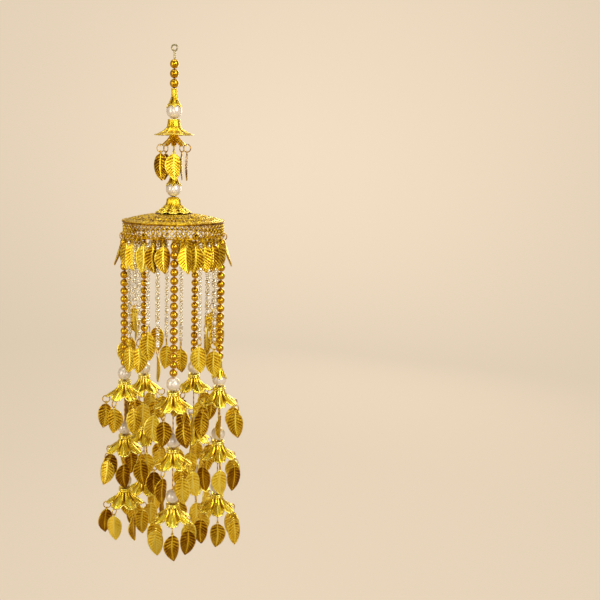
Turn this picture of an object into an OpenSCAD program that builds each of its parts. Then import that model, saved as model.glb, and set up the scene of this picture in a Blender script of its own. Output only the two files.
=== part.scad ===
// Kalire bridal ornament: a beaded stem, a round pierced canopy and five strands of flower caps
// with leaf drops.
// Millimetres, +Z up, front towards -Y. The origin is the centre of the eye that the ornament hangs by.

/* [Stem] */
// Outer diameter of the hanging eye
eye_d = 4.1; // [3.4:0.1:6]
// Diameter of the wire of the eye and the stem
stem_wire_d = 0.9; // [0.7:0.05:1.1]
// Bare wire between the eye and the first gold bead
stem_bare = 4.1; // [2:0.1:8]
// Diameter of the gold beads at the top of the stem
top_bead_d = 5.2; // [4.2:0.1:7]
// Diameter of the two pearls on the stem
stem_pearl_d = 8.9; // [7.4:0.1:9.6]
// Bare wire between the star and the lower trumpet cap
stem_gap = 26; // [20:0.2:32]

/* [Trumpet caps] */
// Height of a trumpet cap
trumpet_h = 10.7; // [9:0.1:13]
// Diameter of its neck
trumpet_neck_d = 3.2; // [2.8:0.1:4]
// Length of its straight neck
trumpet_neck_l = 3; // [1:0.1:4]
// Diameter across the points of its rim
trumpet_rim_d = 9.9; // [9:0.1:12]
// Number of points on the rim
trumpet_points = 6; // [5:1:8]

/* [Umbrella and star] */
// Height of the umbrella cap
umbrella_h = 8.9; // [7.5:0.1:11]
// Diameter of its top
umbrella_top_d = 7; // [6.4:0.1:8.4]
// Length of its straight neck
umbrella_neck_l = 3.3; // [2:0.1:4]
// Diameter of its rim
umbrella_rim_d = 22.8; // [20:0.2:28]
// Height of the star that carries five leaves under the umbrella
star_h = 14.4; // [13:0.1:17]
// Diameter of the neck of the star
star_neck_d = 4; // [3.6:0.1:4.8]
// Length of the neck of the star
star_neck_l = 7; // [5:0.1:8]
// Diameter across the tips of the star
star_tip_d = 16.4; // [15:0.2:20]
// Number of arms and leaves on the star
star_arms = 5; // [4:1:6]

/* [Crown] */
// Height of the crown cap
crown_h = 9; // [8:0.1:12]
// Diameter of its rounded top
crown_top_d = 6.4; // [5.6:0.1:8]
// Diameter across its petals
crown_rim_d = 20.6; // [18:0.2:25]
// Number of petals
crown_petals = 8; // [6:1:10]

/* [Canopy] */
// Diameter of the rolled rim of the lid
canopy_d = 60; // [54:1:70]
// Rise of the domed lid from rim to middle
lid_rise = 4.6; // [3:0.1:8]
// Thickness of the lid
lid_wall = 0.7; // [0.5:0.05:1]
// Diameter of the wire rolled into the rim
rim_roll_d = 1.1; // [0.9:0.05:1.4]
// Height of the lattice band under the rim
band_h = 8.5; // [8:0.1:11]
// Thickness of the band
band_wall = 0.8; // [0.6:0.05:0.9]
// Height of the plain hem under the lattice
hem_h = 0.7; // [0.6:0.05:0.9]
// Diamonds round the band in each row
diamonds = 60; // [60:2:64]
// Rows of diamonds
diamond_rows = 2; // [1:1:2]
// Width of a diamond
diamond_w = 2.3; // [1.9:0.1:2.5]
// Height of a diamond
diamond_h = 3.9; // [3.2:0.1:4.1]
// Width of the metal left between the diamonds of two rows
strut_w = 0.75; // [0.6:0.05:0.8]

/* [Leaves and rings] */
// Length of a leaf blade
leaf_l = 15.2; // [12:0.1:16]
// Width of a leaf blade
leaf_w = 9.2; // [6.5:0.1:10]
// Thickness of a leaf
leaf_wall = 0.5; // [0.4:0.05:0.7]
// Height of the raised midrib
rib_proud = 0.3; // [0.2:0.05:0.5]
// Radius that the blade is cupped to
leaf_cup_r = 11; // [9:0.5:16]
// Outer diameter of a jump ring
ring_d = 4.9; // [4.7:0.1:5.4]
// Diameter of the wire of a jump ring
ring_wire_d = 0.6; // [0.5:0.05:0.65]

/* [Strands] */
// Diameter of the gold beads of a string
bead_d = 4.66; // [4:0.02:4.8]
// Diameter of the pearls on the strands
pearl_d = 8.2; // [7:0.1:9]
// Diameter of the thread wire
thread_d = 0.7; // [0.5:0.05:0.9]
// Outer diameter of the eye at the top of a thread
thread_eye_d = 3; // [2.9:0.1:3.4]
// Distance from one flower cap to the next
tier_pitch = 33.8; // [33:0.1:38]
// Number of flower caps on a strand
tiers = 3; // [1:1:3]

/* [Flower caps] */
// Diameter across the petals
flower_d = 22.7; // [20:0.1:24]
// Height of a flower cap
flower_h = 10.4; // [9:0.1:12]
// Diameter of the double rolled collar
collar_d = 7.4; // [6.8:0.1:8.2]
// Height of the collar
collar_h = 2.2; // [1.8:0.1:2.8]
// Diameter of the neck under the collar
flower_neck_d = 6.4; // [5.8:0.1:6.6]
// Radius of the round end of a petal
petal_r = 4.1; // [3.8:0.1:4.6]

/* [Inner chains] */
// Diameter of the space that a fine chain fills
chain_d = 1.3; // [1:0.1:1.5]
// Length of the longest chain from its upper ring to its leaf's ring
chain_l = 72; // [66:0.5:74]

/* [Sheet and fit] */
// Thickness of the sheet that the caps are stamped from
sheet = 0.45; // [0.35:0.05:0.55]
// Gap left between pieces that bear on each other
gap = 0.12; // [0.1:0.01:0.2]

/* [Hidden] */
gold = "#D2A02C";
pale_gold = "#DCCB8C";
pearl = "#F1E9E4";
$fn = 48;

top_beads = 3;
flare_steps = 8;
bridge = 0.6;
front_turn = 1.5;
cap_curl = 1.6;
umbrella_curl = 1.8;
crown_curl = 2.2;
crown_neck_l = 0.8;

// Where each strand hangs, counted in diamonds from the front, how many gold beads it has, whether
// a trumpet cap follows them, and how far each of its flower caps is turned
strands = 5;
strand_seat = [0, 12, 25, 36, 47];
strand_beads = [16, 15, 17, 17, 16];
strand_trumpet = [false, true, false, false, false];
flower_turn = [[30, 30, 0], [0, 4, 0], [20, 50, 10], [40, 10, 25], [30, 0, 28]];

// Leaves of the rim in five groups between the strands. Each has its seat in diamonds, its turn from facing
// outwards, its outward tilt and the side that its tip bends to.
rim_rows = [
    [[2, 18, 10, 1], [4, -34, -1.5, -1], [6, -36, 0, 1], [8, -35, 1, -1], [10, -38, 0, -1]],
    [[14, 10, 17, 1], [17, 34, 1, -1], [19, 38, 0, 1], [21, 36, 1, 1], [23, 40, 0, -1]],
    [[27, 35, 1, 1], [29, 38, 0, 1], [32, 34, 2, -1], [34, 40, 0, 1]],
    [[38, -36, 0, -1], [40, -38, 1, 1], [42, -35, 0, -1], [45, -10, 17, -1]],
    [[49, 34, 3, 1], [51, 38, 0, 1], [54, 34, 0, -1], [56, 36, 2, 1], [58, 34, 1, 1]],
];

// Turns of the star's leaves. Those of a flower cap mostly swing to face the front or the back, each with
// a shift and a tilt of its own, taken in order.
star_turns = [14, 12, -50, 20, 42];
petal_turns = [-50, 48, 10, -42, 55];
turn_shifts = [8, -12, 17, -5, 58, -19, 4];
drop_tilts = [0, 5, -4, 3, -2, 7];
leaf_hands = [1, -1, -1, 1, 1];
flower_leaves = 5;
flower_petals = 6;

// Inner chains in groups between the strands. Each has its seat in diamonds, its share of the longest
// chain, and the turn and tip side of its leaf.
chain_rows = [
    [[5, 0.80, -25, 1], [7, 0.62, 40, -1], [9, 0.86, -60, 1]],
    [[18, 0.72, -100, 1], [20, 0.62, -110, 1], [22, 0.83, 160, -1]],
    [[28, 1.00, 178, 1], [31, 0.97, 165, -1], [33, 0.80, 150, 1]],
    [[39, 0.60, 130, 1], [41, 0.82, 80, -1], [43, 0.85, 110, 1]],
    [[50, 0.84, 30, -1], [52, 0.55, -35, 1], [53, 0.82, 20, -1], [55, 0.70, 25, 1], [57, 0.86, -60, 1]],
];

// One leaf seen flat: how far down the blade, half its width and the sideways bend of its middle, as shares
// of the blade's length and width
leaf_rows = [
    [0.00, 0.08, 0.00],
    [0.05, 0.24, 0.00],
    [0.17, 0.41, -0.01],
    [0.34, 0.50, -0.03],
    [0.52, 0.50, -0.03],
    [0.69, 0.42, 0.00],
    [0.84, 0.28, 0.04],
    [1.00, 0.03, 0.11],
];
leaf_neck_w = 1.1;
leaf_neck_l = 0.9;
leaf_neck_rise = 0.12;
rib_w = 0.8;

bore_d = thread_d + 2 * gap;
stem_bore_d = stem_wire_d + 2 * gap;
ring_r = (ring_d - ring_wire_d) / 2;
ring_in_r = ring_d / 2 - ring_wire_d;
ring_hole_r = ring_wire_d / 2 + 0.38;
thread_eye_r = (thread_eye_d - ring_wire_d) / 2;

canopy_r = canopy_d / 2;
band_r = canopy_r - rim_roll_d / 2 + 0.05;
seat_r = band_r - band_wall / 2;
diamond_side = sqrt(pow(diamond_w, 2) + pow(diamond_h, 2));
diamond_pitch = 2 * PI * seat_r / diamonds;
row_pitch = (diamond_w * diamond_h + strut_w * diamond_side - diamond_h * diamond_pitch / 2) / diamond_w;
lid_sphere_r = (pow(canopy_r, 2) + pow(lid_rise, 2)) / (2 * lid_rise);

// Heights down the stem, from the eye to the band
eye_r = (eye_d - stem_wire_d) / 2;
bead_top_z = -eye_d / 2 - stem_bare;
upper_trumpet_z = bead_top_z - top_beads * (top_bead_d + gap);
upper_pearl_z = upper_trumpet_z + trumpet_seat_z(stem_pearl_d);
umbrella_z = upper_pearl_z - stem_pearl_d / 2 - gap;
star_z = umbrella_z - sheet - gap;
lower_trumpet_z = star_z - sheet - stem_gap;
lower_pearl_z = lower_trumpet_z + trumpet_seat_z(stem_pearl_d);
crown_z = lower_pearl_z - stem_pearl_d / 2 - gap;
lid_z =
    crown_z - bell_low(crown_top_d / 2, crown_neck_l, crown_rim_d / 2, crown_h, crown_curl) - gap
    + lid_drop(crown_rim_d / 2);
rim_z = lid_z - lid_rise;
band_bottom_z = rim_z - band_h;
hem_top_z = band_bottom_z + hem_h;
stem_ball_r = 1.3;
stem_end_z = lid_z - lid_wall - gap - stem_ball_r;

// Rings that rest in the lowest corner of a diamond
rim_ring_z = hem_top_z + corner_rise(ring_r) - ring_r;
thread_eye_z = hem_top_z + corner_rise(thread_eye_r) - thread_eye_r;

// Heights down a strand
bead_pitch = bead_d + gap;
first_bead_z = thread_eye_z - thread_eye_d / 2 - gap - bead_d / 2;
plate_in = 0.25;
thread_ball_r = 1;

// Height by which the domed lid has dropped at a distance from its middle
function lid_drop(r) = lid_sphere_r - sqrt(pow(lid_sphere_r, 2) - pow(r, 2));

// Height above the lowest corner of a diamond at which the top of a ring of radius r clears the corner
function corner_rise(r) =
    (ring_wire_d / 2 + gap) * diamond_side / diamond_w + r - sqrt(pow(r, 2) - pow(band_wall / 2, 2));

// A flared cap has a plate, a neck and a bell. These are the bell's outer and inner points, neck to rim.
function bell_slope(neck_r, rim_r, curl, s) = (rim_r - neck_r) * curl * pow(s, curl - 1);
function bell_outer(neck_r, neck_l, rim_r, h, curl) = [
    for (i = [0:flare_steps])
        let (s = i / flare_steps)
        [neck_r + (rim_r - neck_r) * pow(s, curl), -neck_l - (h - neck_l) * s]
];
function bell_inner(neck_r, neck_l, rim_r, h, curl, wall) = [
    for (i = [0:flare_steps])
        let (s = i / flare_steps)
        let (across = bell_slope(neck_r, rim_r, curl, s))
        let (down = h - neck_l)
        let (step = wall / sqrt(pow(across, 2) + pow(down, 2)))
        [
            neck_r + (rim_r - neck_r) * pow(s, curl) - step * down,
            -neck_l - down * s - step * across
        ]
];

// Depth of a bell's lowest edge, which is the inner one, below its top
function bell_low(neck_r, neck_l, rim_r, h, curl) =
    let (across = bell_slope(neck_r, rim_r, curl, 1))
    h + sheet * across / sqrt(pow(across, 2) + pow(h - neck_l, 2));

// Height of the middle of a bell's sheet at a distance r from the axis
function sheet_z(neck_r, neck_l, rim_r, h, curl, r) =
    let (s = pow((r - neck_r) / (rim_r - neck_r), 1 / curl))
    let (slope = (h - neck_l) / bell_slope(neck_r, rim_r, curl, s))
    -neck_l - (h - neck_l) * s - sheet / 2 * sqrt(1 + pow(slope, 2));

// Height of the middle of a ball that has risen into a bell until it bears on the inside
function ball_seat(points, ball_r) =
    min([for (p = points) if (p[0] < ball_r) p[1] - sqrt(pow(ball_r, 2) - pow(p[0], 2))]);
function trumpet_seat_z(ball_d) =
    ball_seat(
        bell_inner(trumpet_neck_d / 2, trumpet_neck_l, trumpet_rim_d / 2, trumpet_h, umbrella_curl, sheet),
        ball_d / 2 + gap
    );

function seat_angle(seat) = front_turn + seat * 360 / diamonds;
function pick(list, i) = list[i % len(list)];
function reversed(list) = [for (i = [len(list) - 1:-1:0]) list[i]];

// Heights of the pieces of strand k, counted from 0
function last_bead_z(k) = first_bead_z - (strand_beads[k] - 1) * bead_pitch;
function strand_trumpet_z(k) = last_bead_z(k) - bead_d / 2 - gap;
function first_pearl_z(k) =
    strand_trumpet[k]
        ? strand_trumpet_z(k) + trumpet_seat_z(pearl_d)
        : last_bead_z(k) - bead_d / 2 - gap - pearl_d / 2;
function flower_z(k, t) = first_pearl_z(k) - pearl_d / 2 - gap - t * tier_pitch;
function pearl_z(k, t) = flower_z(k, t) + gap + pearl_d / 2;

// Place of the petal bridge that a ring hangs from, and of the ring's middle under it
flower_bridge_r = flower_d / 2 - bridge / 2;
star_bridge_r = star_tip_d / 2 - bridge / 2;
ring_slack = 0.2;
ring_hang = ring_in_r - sqrt(pow(bridge, 2) + pow(sheet, 2)) / 2 - ring_slack;
flower_ring_z =
    sheet_z(flower_neck_d / 2, collar_h, flower_d / 2, flower_h, cap_curl, flower_bridge_r) - ring_hang;
star_ring_z =
    sheet_z(star_neck_d / 2, star_neck_l, star_tip_d / 2, star_h, umbrella_curl, star_bridge_r) - ring_hang;

function leaf_point(row, side, hand) =
    [hand * (row[2] + side * row[1]) * leaf_w, -leaf_neck_l - row[0] * leaf_l];
function leaf_outline(hand) = concat(
    [[-leaf_neck_w / 2, leaf_neck_rise], [-leaf_neck_w / 2, -leaf_neck_l]],
    [for (row = leaf_rows) leaf_point(row, -hand, hand)],
    [for (row = reversed(leaf_rows)) leaf_point(row, hand, hand)],
    [[leaf_neck_w / 2, -leaf_neck_l], [leaf_neck_w / 2, leaf_neck_rise]]
);
function rib_outline(hand) = concat(
    [for (row = leaf_rows) if (row[0] < 1) leaf_point([row[0], 0, row[2]], 0, hand) - [rib_w / 2, 0]],
    [
        for (row = reversed(leaf_rows))
            if (row[0] < 1) leaf_point([row[0], 0, row[2]], 0, hand) + [rib_w / 2, 0]
    ]
);

module ring(r, wire_r) {
    rotate([0, 90, 0])
        rotate_extrude()
            translate([r, 0])
                circle(wire_r);
}

// A wall bent to the cupping radius, with its convex side towards -Y
module cupped_wall(inner, outer) {
    translate([0, leaf_cup_r, -2 * leaf_l])
        difference() {
            cylinder(r = leaf_cup_r + outer, h = 3 * leaf_l);
            translate([0, 0, -1])
                cylinder(r = leaf_cup_r - inner, h = 3 * leaf_l + 2);
        }
}

module upright_prism(points, depth) {
    rotate([90, 0, 0])
        linear_extrude(height = depth, center = true)
            polygon(points);
}

// One leaf that hangs from its neck, convex face towards -Y, tip bent to the side that hand gives
module leaf_blade(hand) {
    intersection() {
        upright_prism(leaf_outline(hand), leaf_w);
        cupped_wall(leaf_wall / 2, leaf_wall / 2);
    }
    intersection() {
        upright_prism(rib_outline(hand), leaf_w);
        cupped_wall(0, leaf_wall / 2 + rib_proud);
    }
}

// A jump ring in the radial plane about the origin with a leaf on it, turned on itself and tilted outwards
module leaf_drop(turn, tilt, hand) {
    ring(ring_r, ring_wire_d / 2);
    rotate([-tilt, 0, 0])
        translate([0, 0, -ring_r])
            rotate([0, 0, turn])
                leaf_blade(hand);
}

// A stamped cap: top plate with a bore, neck and bell
module bell(neck_r, neck_l, rim_r, h, curl, bore_r, plate_z) {
    outer = bell_outer(neck_r, neck_l, rim_r, h, curl);
    inner = bell_inner(neck_r, neck_l, rim_r, h, curl, sheet);
    rotate_extrude()
        polygon(concat(
            [[bore_r, -plate_z], [neck_r, -plate_z]],
            outer,
            reversed(inner),
            [[neck_r - sheet, -plate_z - sheet], [bore_r, -plate_z - sheet]]
        ));
}

module pointed_plan(points, tip_r, notch_r) {
    polygon([
        for (i = [0:2 * points - 1])
            let (r = i % 2 == 0 ? tip_r : notch_r)
            let (a = i * 180 / points - 90)
            [r * cos(a), r * sin(a)]
    ]);
}

module petal_plan(petals, tip_r, lobe_r) {
    circle(tip_r - 1.2 * lobe_r);
    for (i = [0:petals - 1])
        rotate(i * 360 / petals)
            translate([0, lobe_r - tip_r])
                circle(lobe_r);
}

module drilled_ball(d, bore) {
    difference() {
        sphere(d = d);
        cylinder(d = bore, h = d + 1, center = true);
    }
}

module trumpet() {
    intersection() {
        bell(
            trumpet_neck_d / 2, trumpet_neck_l, trumpet_rim_d / 2, trumpet_h, umbrella_curl,
            stem_bore_d / 2, 0
        );
        translate([0, 0, -trumpet_h - 1])
            linear_extrude(height = trumpet_h + 2)
                pointed_plan(trumpet_points, trumpet_rim_d / 2, 0.76 * trumpet_rim_d / 2);
    }
}

// A flower cap: a double rolled collar over six round petals, five of them pierced for a ring
module flower_cap() {
    roll_r = collar_h / 3.6;
    difference() {
        intersection() {
            union() {
                bell(flower_neck_d / 2, collar_h, flower_d / 2, flower_h, cap_curl, bore_d / 2, plate_in);
                for (i = [0, 1])
                    translate([0, 0, -roll_r - i * 1.6 * roll_r])
                        rotate_extrude()
                            translate([collar_d / 2 - roll_r, 0])
                                circle(roll_r);
            }
            translate([0, 0, -flower_h - 1])
                linear_extrude(height = flower_h + 2)
                    petal_plan(flower_petals, flower_d / 2, petal_r);
        }
        for (i = [0:flower_leaves - 1])
            rotate([0, 0, petal_angle(i)])
                translate([0, -flower_bridge_r + bridge / 2 + ring_hole_r, -flower_h - 1])
                    cylinder(r = ring_hole_r, h = flower_h - collar_h);
    }
}

// The petals that carry leaves, from one side round the front to the other
function petal_angle(i) = (i - 2) * 360 / flower_petals;

module at_strand(k) {
    rotate([0, 0, seat_angle(strand_seat[k])])
        translate([0, -seat_r, 0])
            rotate([0, 0, -seat_angle(strand_seat[k])])
                children();
}

module stem_wire() {
    color(pale_gold) {
        rotate([0, 0, 90])
            ring(eye_r, stem_wire_d / 2);
        translate([0, 0, stem_end_z])
            cylinder(d = stem_wire_d, h = -eye_r - stem_end_z);
        translate([0, 0, stem_end_z])
            sphere(r = stem_ball_r);
    }
}

module top_bead(i) {
    color(gold)
        translate([0, 0, bead_top_z - top_bead_d / 2 - (i - 1) * (top_bead_d + gap)])
            drilled_ball(top_bead_d, stem_bore_d);
}

module upper_trumpet() {
    color(gold)
        translate([0, 0, upper_trumpet_z])
            trumpet();
}

module upper_pearl() {
    color(pearl)
        translate([0, 0, upper_pearl_z])
            drilled_ball(stem_pearl_d, stem_bore_d);
}

module umbrella() {
    color(gold)
        translate([0, 0, umbrella_z])
            bell(
                umbrella_top_d / 2, umbrella_neck_l, umbrella_rim_d / 2, umbrella_h, umbrella_curl,
                stem_bore_d / 2, 0
            );
}

module star() {
    color(gold)
        translate([0, 0, star_z])
            difference() {
                intersection() {
                    bell(
                        star_neck_d / 2, star_neck_l, star_tip_d / 2, star_h, umbrella_curl,
                        stem_bore_d / 2, 0
                    );
                    translate([0, 0, -star_h - 1])
                        linear_extrude(height = star_h + 2)
                            star_plan();
                }
                for (i = [0:star_arms - 1])
                    rotate([0, 0, i * 360 / star_arms])
                        translate([0, -star_bridge_r + bridge / 2 + ring_hole_r, -star_h - 1])
                            cylinder(r = ring_hole_r, h = star_h - star_neck_l);
            }
}

// Arms that narrow to blunt tips
module star_plan() {
    tip_w = 2 * ring_hole_r + 2 * bridge;
    root_w = star_neck_d + 0.6;
    circle(d = star_neck_d + 1.2);
    for (i = [0:star_arms - 1])
        rotate(i * 360 / star_arms)
            polygon([
                [-root_w / 2, 0],
                [-tip_w / 2, -star_tip_d / 2],
                [tip_w / 2, -star_tip_d / 2],
                [root_w / 2, 0]
            ]);
}

module umbrella_leaves() {
    color(gold)
        for (i = [0:star_arms - 1])
            rotate([0, 0, i * 360 / star_arms])
                translate([0, -star_bridge_r, star_z + star_ring_z])
                    leaf_drop(pick(star_turns, i), 0, pick(leaf_hands, i));
}

module lower_trumpet() {
    color(gold)
        translate([0, 0, lower_trumpet_z])
            trumpet();
}

module lower_pearl() {
    color(pearl)
        translate([0, 0, lower_pearl_z])
            drilled_ball(stem_pearl_d, stem_bore_d);
}

module crown() {
    lobe_r = 0.235 * crown_rim_d;
    color(gold)
        translate([0, 0, crown_z])
            intersection() {
                bell(
                    crown_top_d / 2, crown_neck_l, crown_rim_d / 2, crown_h, crown_curl,
                    stem_bore_d / 2, 0
                );
                translate([0, 0, -crown_h - 1])
                    linear_extrude(height = crown_h + 2)
                        petal_plan(crown_petals, crown_rim_d / 2, lobe_r);
            }
}

module lid() {
    steps = 8;
    top = [
        for (i = [0:steps])
            let (r = canopy_r * i / steps)
            [max(r, stem_bore_d / 2), lid_z - lid_drop(r)]
    ];
    rotate_extrude()
        polygon(concat(top, [for (p = reversed(top)) p - [0, lid_wall]]));
    translate([0, 0, rim_z - lid_wall / 2])
        rotate_extrude()
            translate([canopy_r - rim_roll_d / 2, 0])
                circle(rim_roll_d / 2);
}

module band() {
    difference() {
        translate([0, 0, band_bottom_z])
            difference() {
                cylinder(r = band_r, h = band_h - lid_wall / 2, $fn = 120);
                translate([0, 0, -1])
                    cylinder(r = band_r - band_wall, h = band_h + 2, $fn = 120);
            }
        for (row = [0:diamond_rows - 1], i = [0:diamonds - 1])
            rotate([0, 0, seat_angle(i + row / 2)])
                translate([0, -seat_r, hem_top_z + diamond_h / 2 + row * row_pitch])
                    upright_prism(
                        [[-diamond_w / 2, 0], [0, -diamond_h / 2], [diamond_w / 2, 0], [0, diamond_h / 2]],
                        3 * band_wall
                    );
    }
}

module canopy() {
    color(gold) {
        lid();
        band();
    }
}

// Places what hangs from a diamond of the band with its ring's middle at the origin
module at_seat(seat) {
    rotate([0, 0, seat_angle(seat)])
        translate([0, -seat_r, rim_ring_z])
            children();
}

module rim_leaves(k) {
    color(gold)
        for (row = rim_rows[k - 1])
            at_seat(row[0])
                leaf_drop(row[1], row[2], row[3]);
}

module thread(k) {
    end_z = flower_z(k - 1, tiers - 1) - plate_in - sheet - gap - thread_ball_r;
    color(pale_gold) {
        rotate([0, 0, seat_angle(strand_seat[k - 1])])
            translate([0, -seat_r, thread_eye_z])
                ring(thread_eye_r, ring_wire_d / 2);
        at_strand(k - 1) {
            translate([0, 0, end_z])
                cylinder(d = thread_d, h = thread_eye_z - thread_eye_r - end_z);
            translate([0, 0, end_z])
                sphere(r = thread_ball_r);
        }
    }
}

module gold_beads(k) {
    color(gold)
        at_strand(k - 1)
            for (i = [0:strand_beads[k - 1] - 1])
                translate([0, 0, first_bead_z - i * bead_pitch])
                    drilled_ball(bead_d, bore_d);
}

module strand_trumpet_2() {
    color(gold)
        at_strand(1)
            translate([0, 0, strand_trumpet_z(1)])
                trumpet();
}

module pearls(k) {
    color(pearl)
        at_strand(k - 1)
            for (t = [0:tiers - 1])
                translate([0, 0, pearl_z(k - 1, t)])
                    drilled_ball(pearl_d, bore_d);
}

module placed_flower_cap(k, t) {
    color(gold)
        at_strand(k - 1)
            translate([0, 0, flower_z(k - 1, t - 1)])
                rotate([0, 0, flower_turn[k - 1][t - 1]])
                    flower_cap();
}

module cap_leaves(k) {
    color(gold)
        at_strand(k - 1)
            for (t = [0:tiers - 1])
                translate([0, 0, flower_z(k - 1, t) + flower_ring_z])
                    rotate([0, 0, flower_turn[k - 1][t]])
                        for (i = [0:flower_leaves - 1])
                            rotate([0, 0, petal_angle(i)])
                                translate([0, -flower_bridge_r, 0])
                                    leaf_drop(
                                        pick(petal_turns, i) - flower_turn[k - 1][t]
                                            + pick(turn_shifts, i + 2 * t + k),
                                        pick(drop_tilts, i + t + 3 * k),
                                        pick(leaf_hands, i + t + k)
                                    );
}

// A tube of eight sides swept down through points that lie one under another
module hanging_tube(path, r) {
    sides = 8;
    rings = len(path);
    points = [for (p = path, i = [0:sides - 1]) p + r * [cos(i * 360 / sides), sin(i * 360 / sides), 0]];
    walls = [
        for (j = [0:rings - 2], i = [0:sides - 1])
            let (n = (i + 1) % sides)
            [j * sides + i, j * sides + n, (j + 1) * sides + n, (j + 1) * sides + i]
    ];
    polyhedron(
        points = points,
        faces = concat(
            [[for (i = [sides - 1:-1:0]) i]],
            walls,
            [[for (i = [0:sides - 1]) (rings - 1) * sides + i]]
        )
    );
}

// Chain from its ring in the band to the ring of its leaf
module chain(length, turn, hand) {
    ring(ring_r, ring_wire_d / 2);
    hanging_tube([for (s = [0, 0.5, 1]) [0, 0, -ring_r - s * (length - 2 * ring_r)]], chain_d / 2);
    translate([0, 0, -length])
        leaf_drop(turn, 0, hand);
}

module inner_chains(k) {
    color(pale_gold)
        for (row = chain_rows[k - 1])
            at_seat(row[0])
                chain(row[1] * chain_l, row[2], row[3]);
}

stem_wire();
for (i = [1:top_beads]) top_bead(i);
upper_trumpet();
upper_pearl();
umbrella();
star();
umbrella_leaves();
lower_trumpet();
lower_pearl();
crown();
canopy();
strand_trumpet_2();
for (k = [1:strands]) rim_leaves(k);
for (k = [1:strands]) thread(k);
for (k = [1:strands]) gold_beads(k);
for (k = [1:strands]) pearls(k);
for (k = [1:strands], t = [1:tiers])
    placed_flower_cap(k, t);
for (k = [1:strands]) cap_leaves(k);
for (k = [1:strands]) inner_chains(k);
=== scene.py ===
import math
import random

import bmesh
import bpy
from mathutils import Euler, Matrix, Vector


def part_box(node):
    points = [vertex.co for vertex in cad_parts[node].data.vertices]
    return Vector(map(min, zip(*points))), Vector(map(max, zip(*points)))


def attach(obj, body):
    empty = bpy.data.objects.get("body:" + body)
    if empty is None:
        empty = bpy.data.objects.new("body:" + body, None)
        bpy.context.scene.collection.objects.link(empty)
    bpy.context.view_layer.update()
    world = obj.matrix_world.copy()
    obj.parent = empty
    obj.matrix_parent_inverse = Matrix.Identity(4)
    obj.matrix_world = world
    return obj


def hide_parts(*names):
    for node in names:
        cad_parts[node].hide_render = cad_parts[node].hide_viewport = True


bl_info = {
    "name": "Kalire bridal ornament",
    "version": (1, 0, 0),
    "blender": (4, 5, 0),
    "location": "3D View > Sidebar > Kalire",
    "description": "Dresses the ornament with stamped caps, veined leaves, fine chains and pearls",
    "category": "Object",
}

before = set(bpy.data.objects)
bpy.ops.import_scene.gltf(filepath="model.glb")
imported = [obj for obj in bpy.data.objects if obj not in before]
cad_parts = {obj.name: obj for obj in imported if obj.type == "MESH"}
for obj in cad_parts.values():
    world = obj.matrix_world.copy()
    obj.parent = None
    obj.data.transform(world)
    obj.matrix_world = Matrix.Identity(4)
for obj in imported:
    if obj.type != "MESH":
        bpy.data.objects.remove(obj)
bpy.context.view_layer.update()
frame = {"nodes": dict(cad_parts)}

# Sizes are in millimetres and are turned to metres where a mesh is made
MM = 0.001
FULL_TURN = 2 * math.pi
STRANDS = range(1, 6)
TIERS = range(1, 4)

# Construction values that the looks share with the part's source
SEAT_STEP = 6.0
FRONT_TURN = 1.5
SEAT_RADIUS = 29.1
RING_RADIUS = 2.15
RING_WIRE = 0.3
RING_REACH = RING_RADIUS + RING_WIRE
FLOWER_BRIDGE = 11.05
STAR_BRIDGE = 7.9
CHAIN_LENGTH = 72.0
BEAD_PITCH = 4.78
LID_RADIUS = 30.0
LID_RISE = 4.6
LEAF_NECK = 0.9

# Tone of the jump rings, the radius that a leaf is cupped to and how far its veins sweep down
RING_TONE = -0.42
LEAF_CUP = 11.0
LEAF_SWEEP = 0.23
# Painted light and shade that a leaf of the rim or of a flower cap takes by chance, and how much painted
# light brightens each tier
RIM_SHINES = (-0.25, -0.12, 0.08)
CAP_SHINES = (-0.34, -0.16, 0.0, 0.12, 0.24)
TIER_SHINES = (0.0, 0.02, 0.12)

# Bells of the stamped caps: radius and length of the neck, radius of the rim, height and how they flare
FLOWER = dict(neck=3.2, neck_length=2.2, rim=11.35, height=10.4, curl=1.6)
TRUMPET = dict(neck=1.6, neck_length=3.0, rim=4.95, height=10.7, curl=1.8)
UMBRELLA = dict(neck=3.5, neck_length=1.2, rim=11.4, height=8.9, curl=2.9)
STAR = dict(neck=2.0, neck_length=7.0, rim=8.2, height=14.4, curl=1.8)
CROWN = dict(neck=3.8, neck_length=1.8, rim=10.3, height=9.0, curl=2.1)

# Looped wire on the lid: how far out it lies, radius of a loop, half its wire, loops round and shift in steps
LID_LOOPS = (
    (13.9, 2.0, 0.42, 18, 0.0), (13.9, 0.8, 0.45, 18, 0.0), (18.6, 3.0, 0.42, 18, 0.5),
    (18.6, 1.3, 0.42, 18, 0.5), (24.0, 3.1, 0.42, 24, 0.0), (24.0, 1.5, 0.4, 24, 0.0),
    (27.6, 0.9, 0.4, 72, 0.5),
)
# Plain round wires on the lid and half their wire
LID_ROUNDS = (11.7, 16.3, 21.4, 26.4, 28.8)
ROUND_WIRE = 0.38

# Seat in diamonds, turn from facing outwards, outward tilt and tip side of each leaf of the rim
RIM_LEAVES = [
    [(2, 18, 10, 1), (4, -34, -1.5, -1), (6, -36, 0, 1), (8, -35, 1, -1), (10, -38, 0, -1)],
    [(14, 10, 17, 1), (17, 34, 1, -1), (19, 38, 0, 1), (21, 36, 1, 1), (23, 40, 0, -1)],
    [(27, 35, 1, 1), (29, 38, 0, 1), (32, 34, 2, -1), (34, 40, 0, 1)],
    [(38, -36, 0, -1), (40, -38, 1, 1), (42, -35, 0, -1), (45, -10, 17, -1)],
    [(49, 34, 3, 1), (51, 38, 0, 1), (54, 34, 0, -1), (56, 36, 2, 1), (58, 34, 1, 1)],
]
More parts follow.
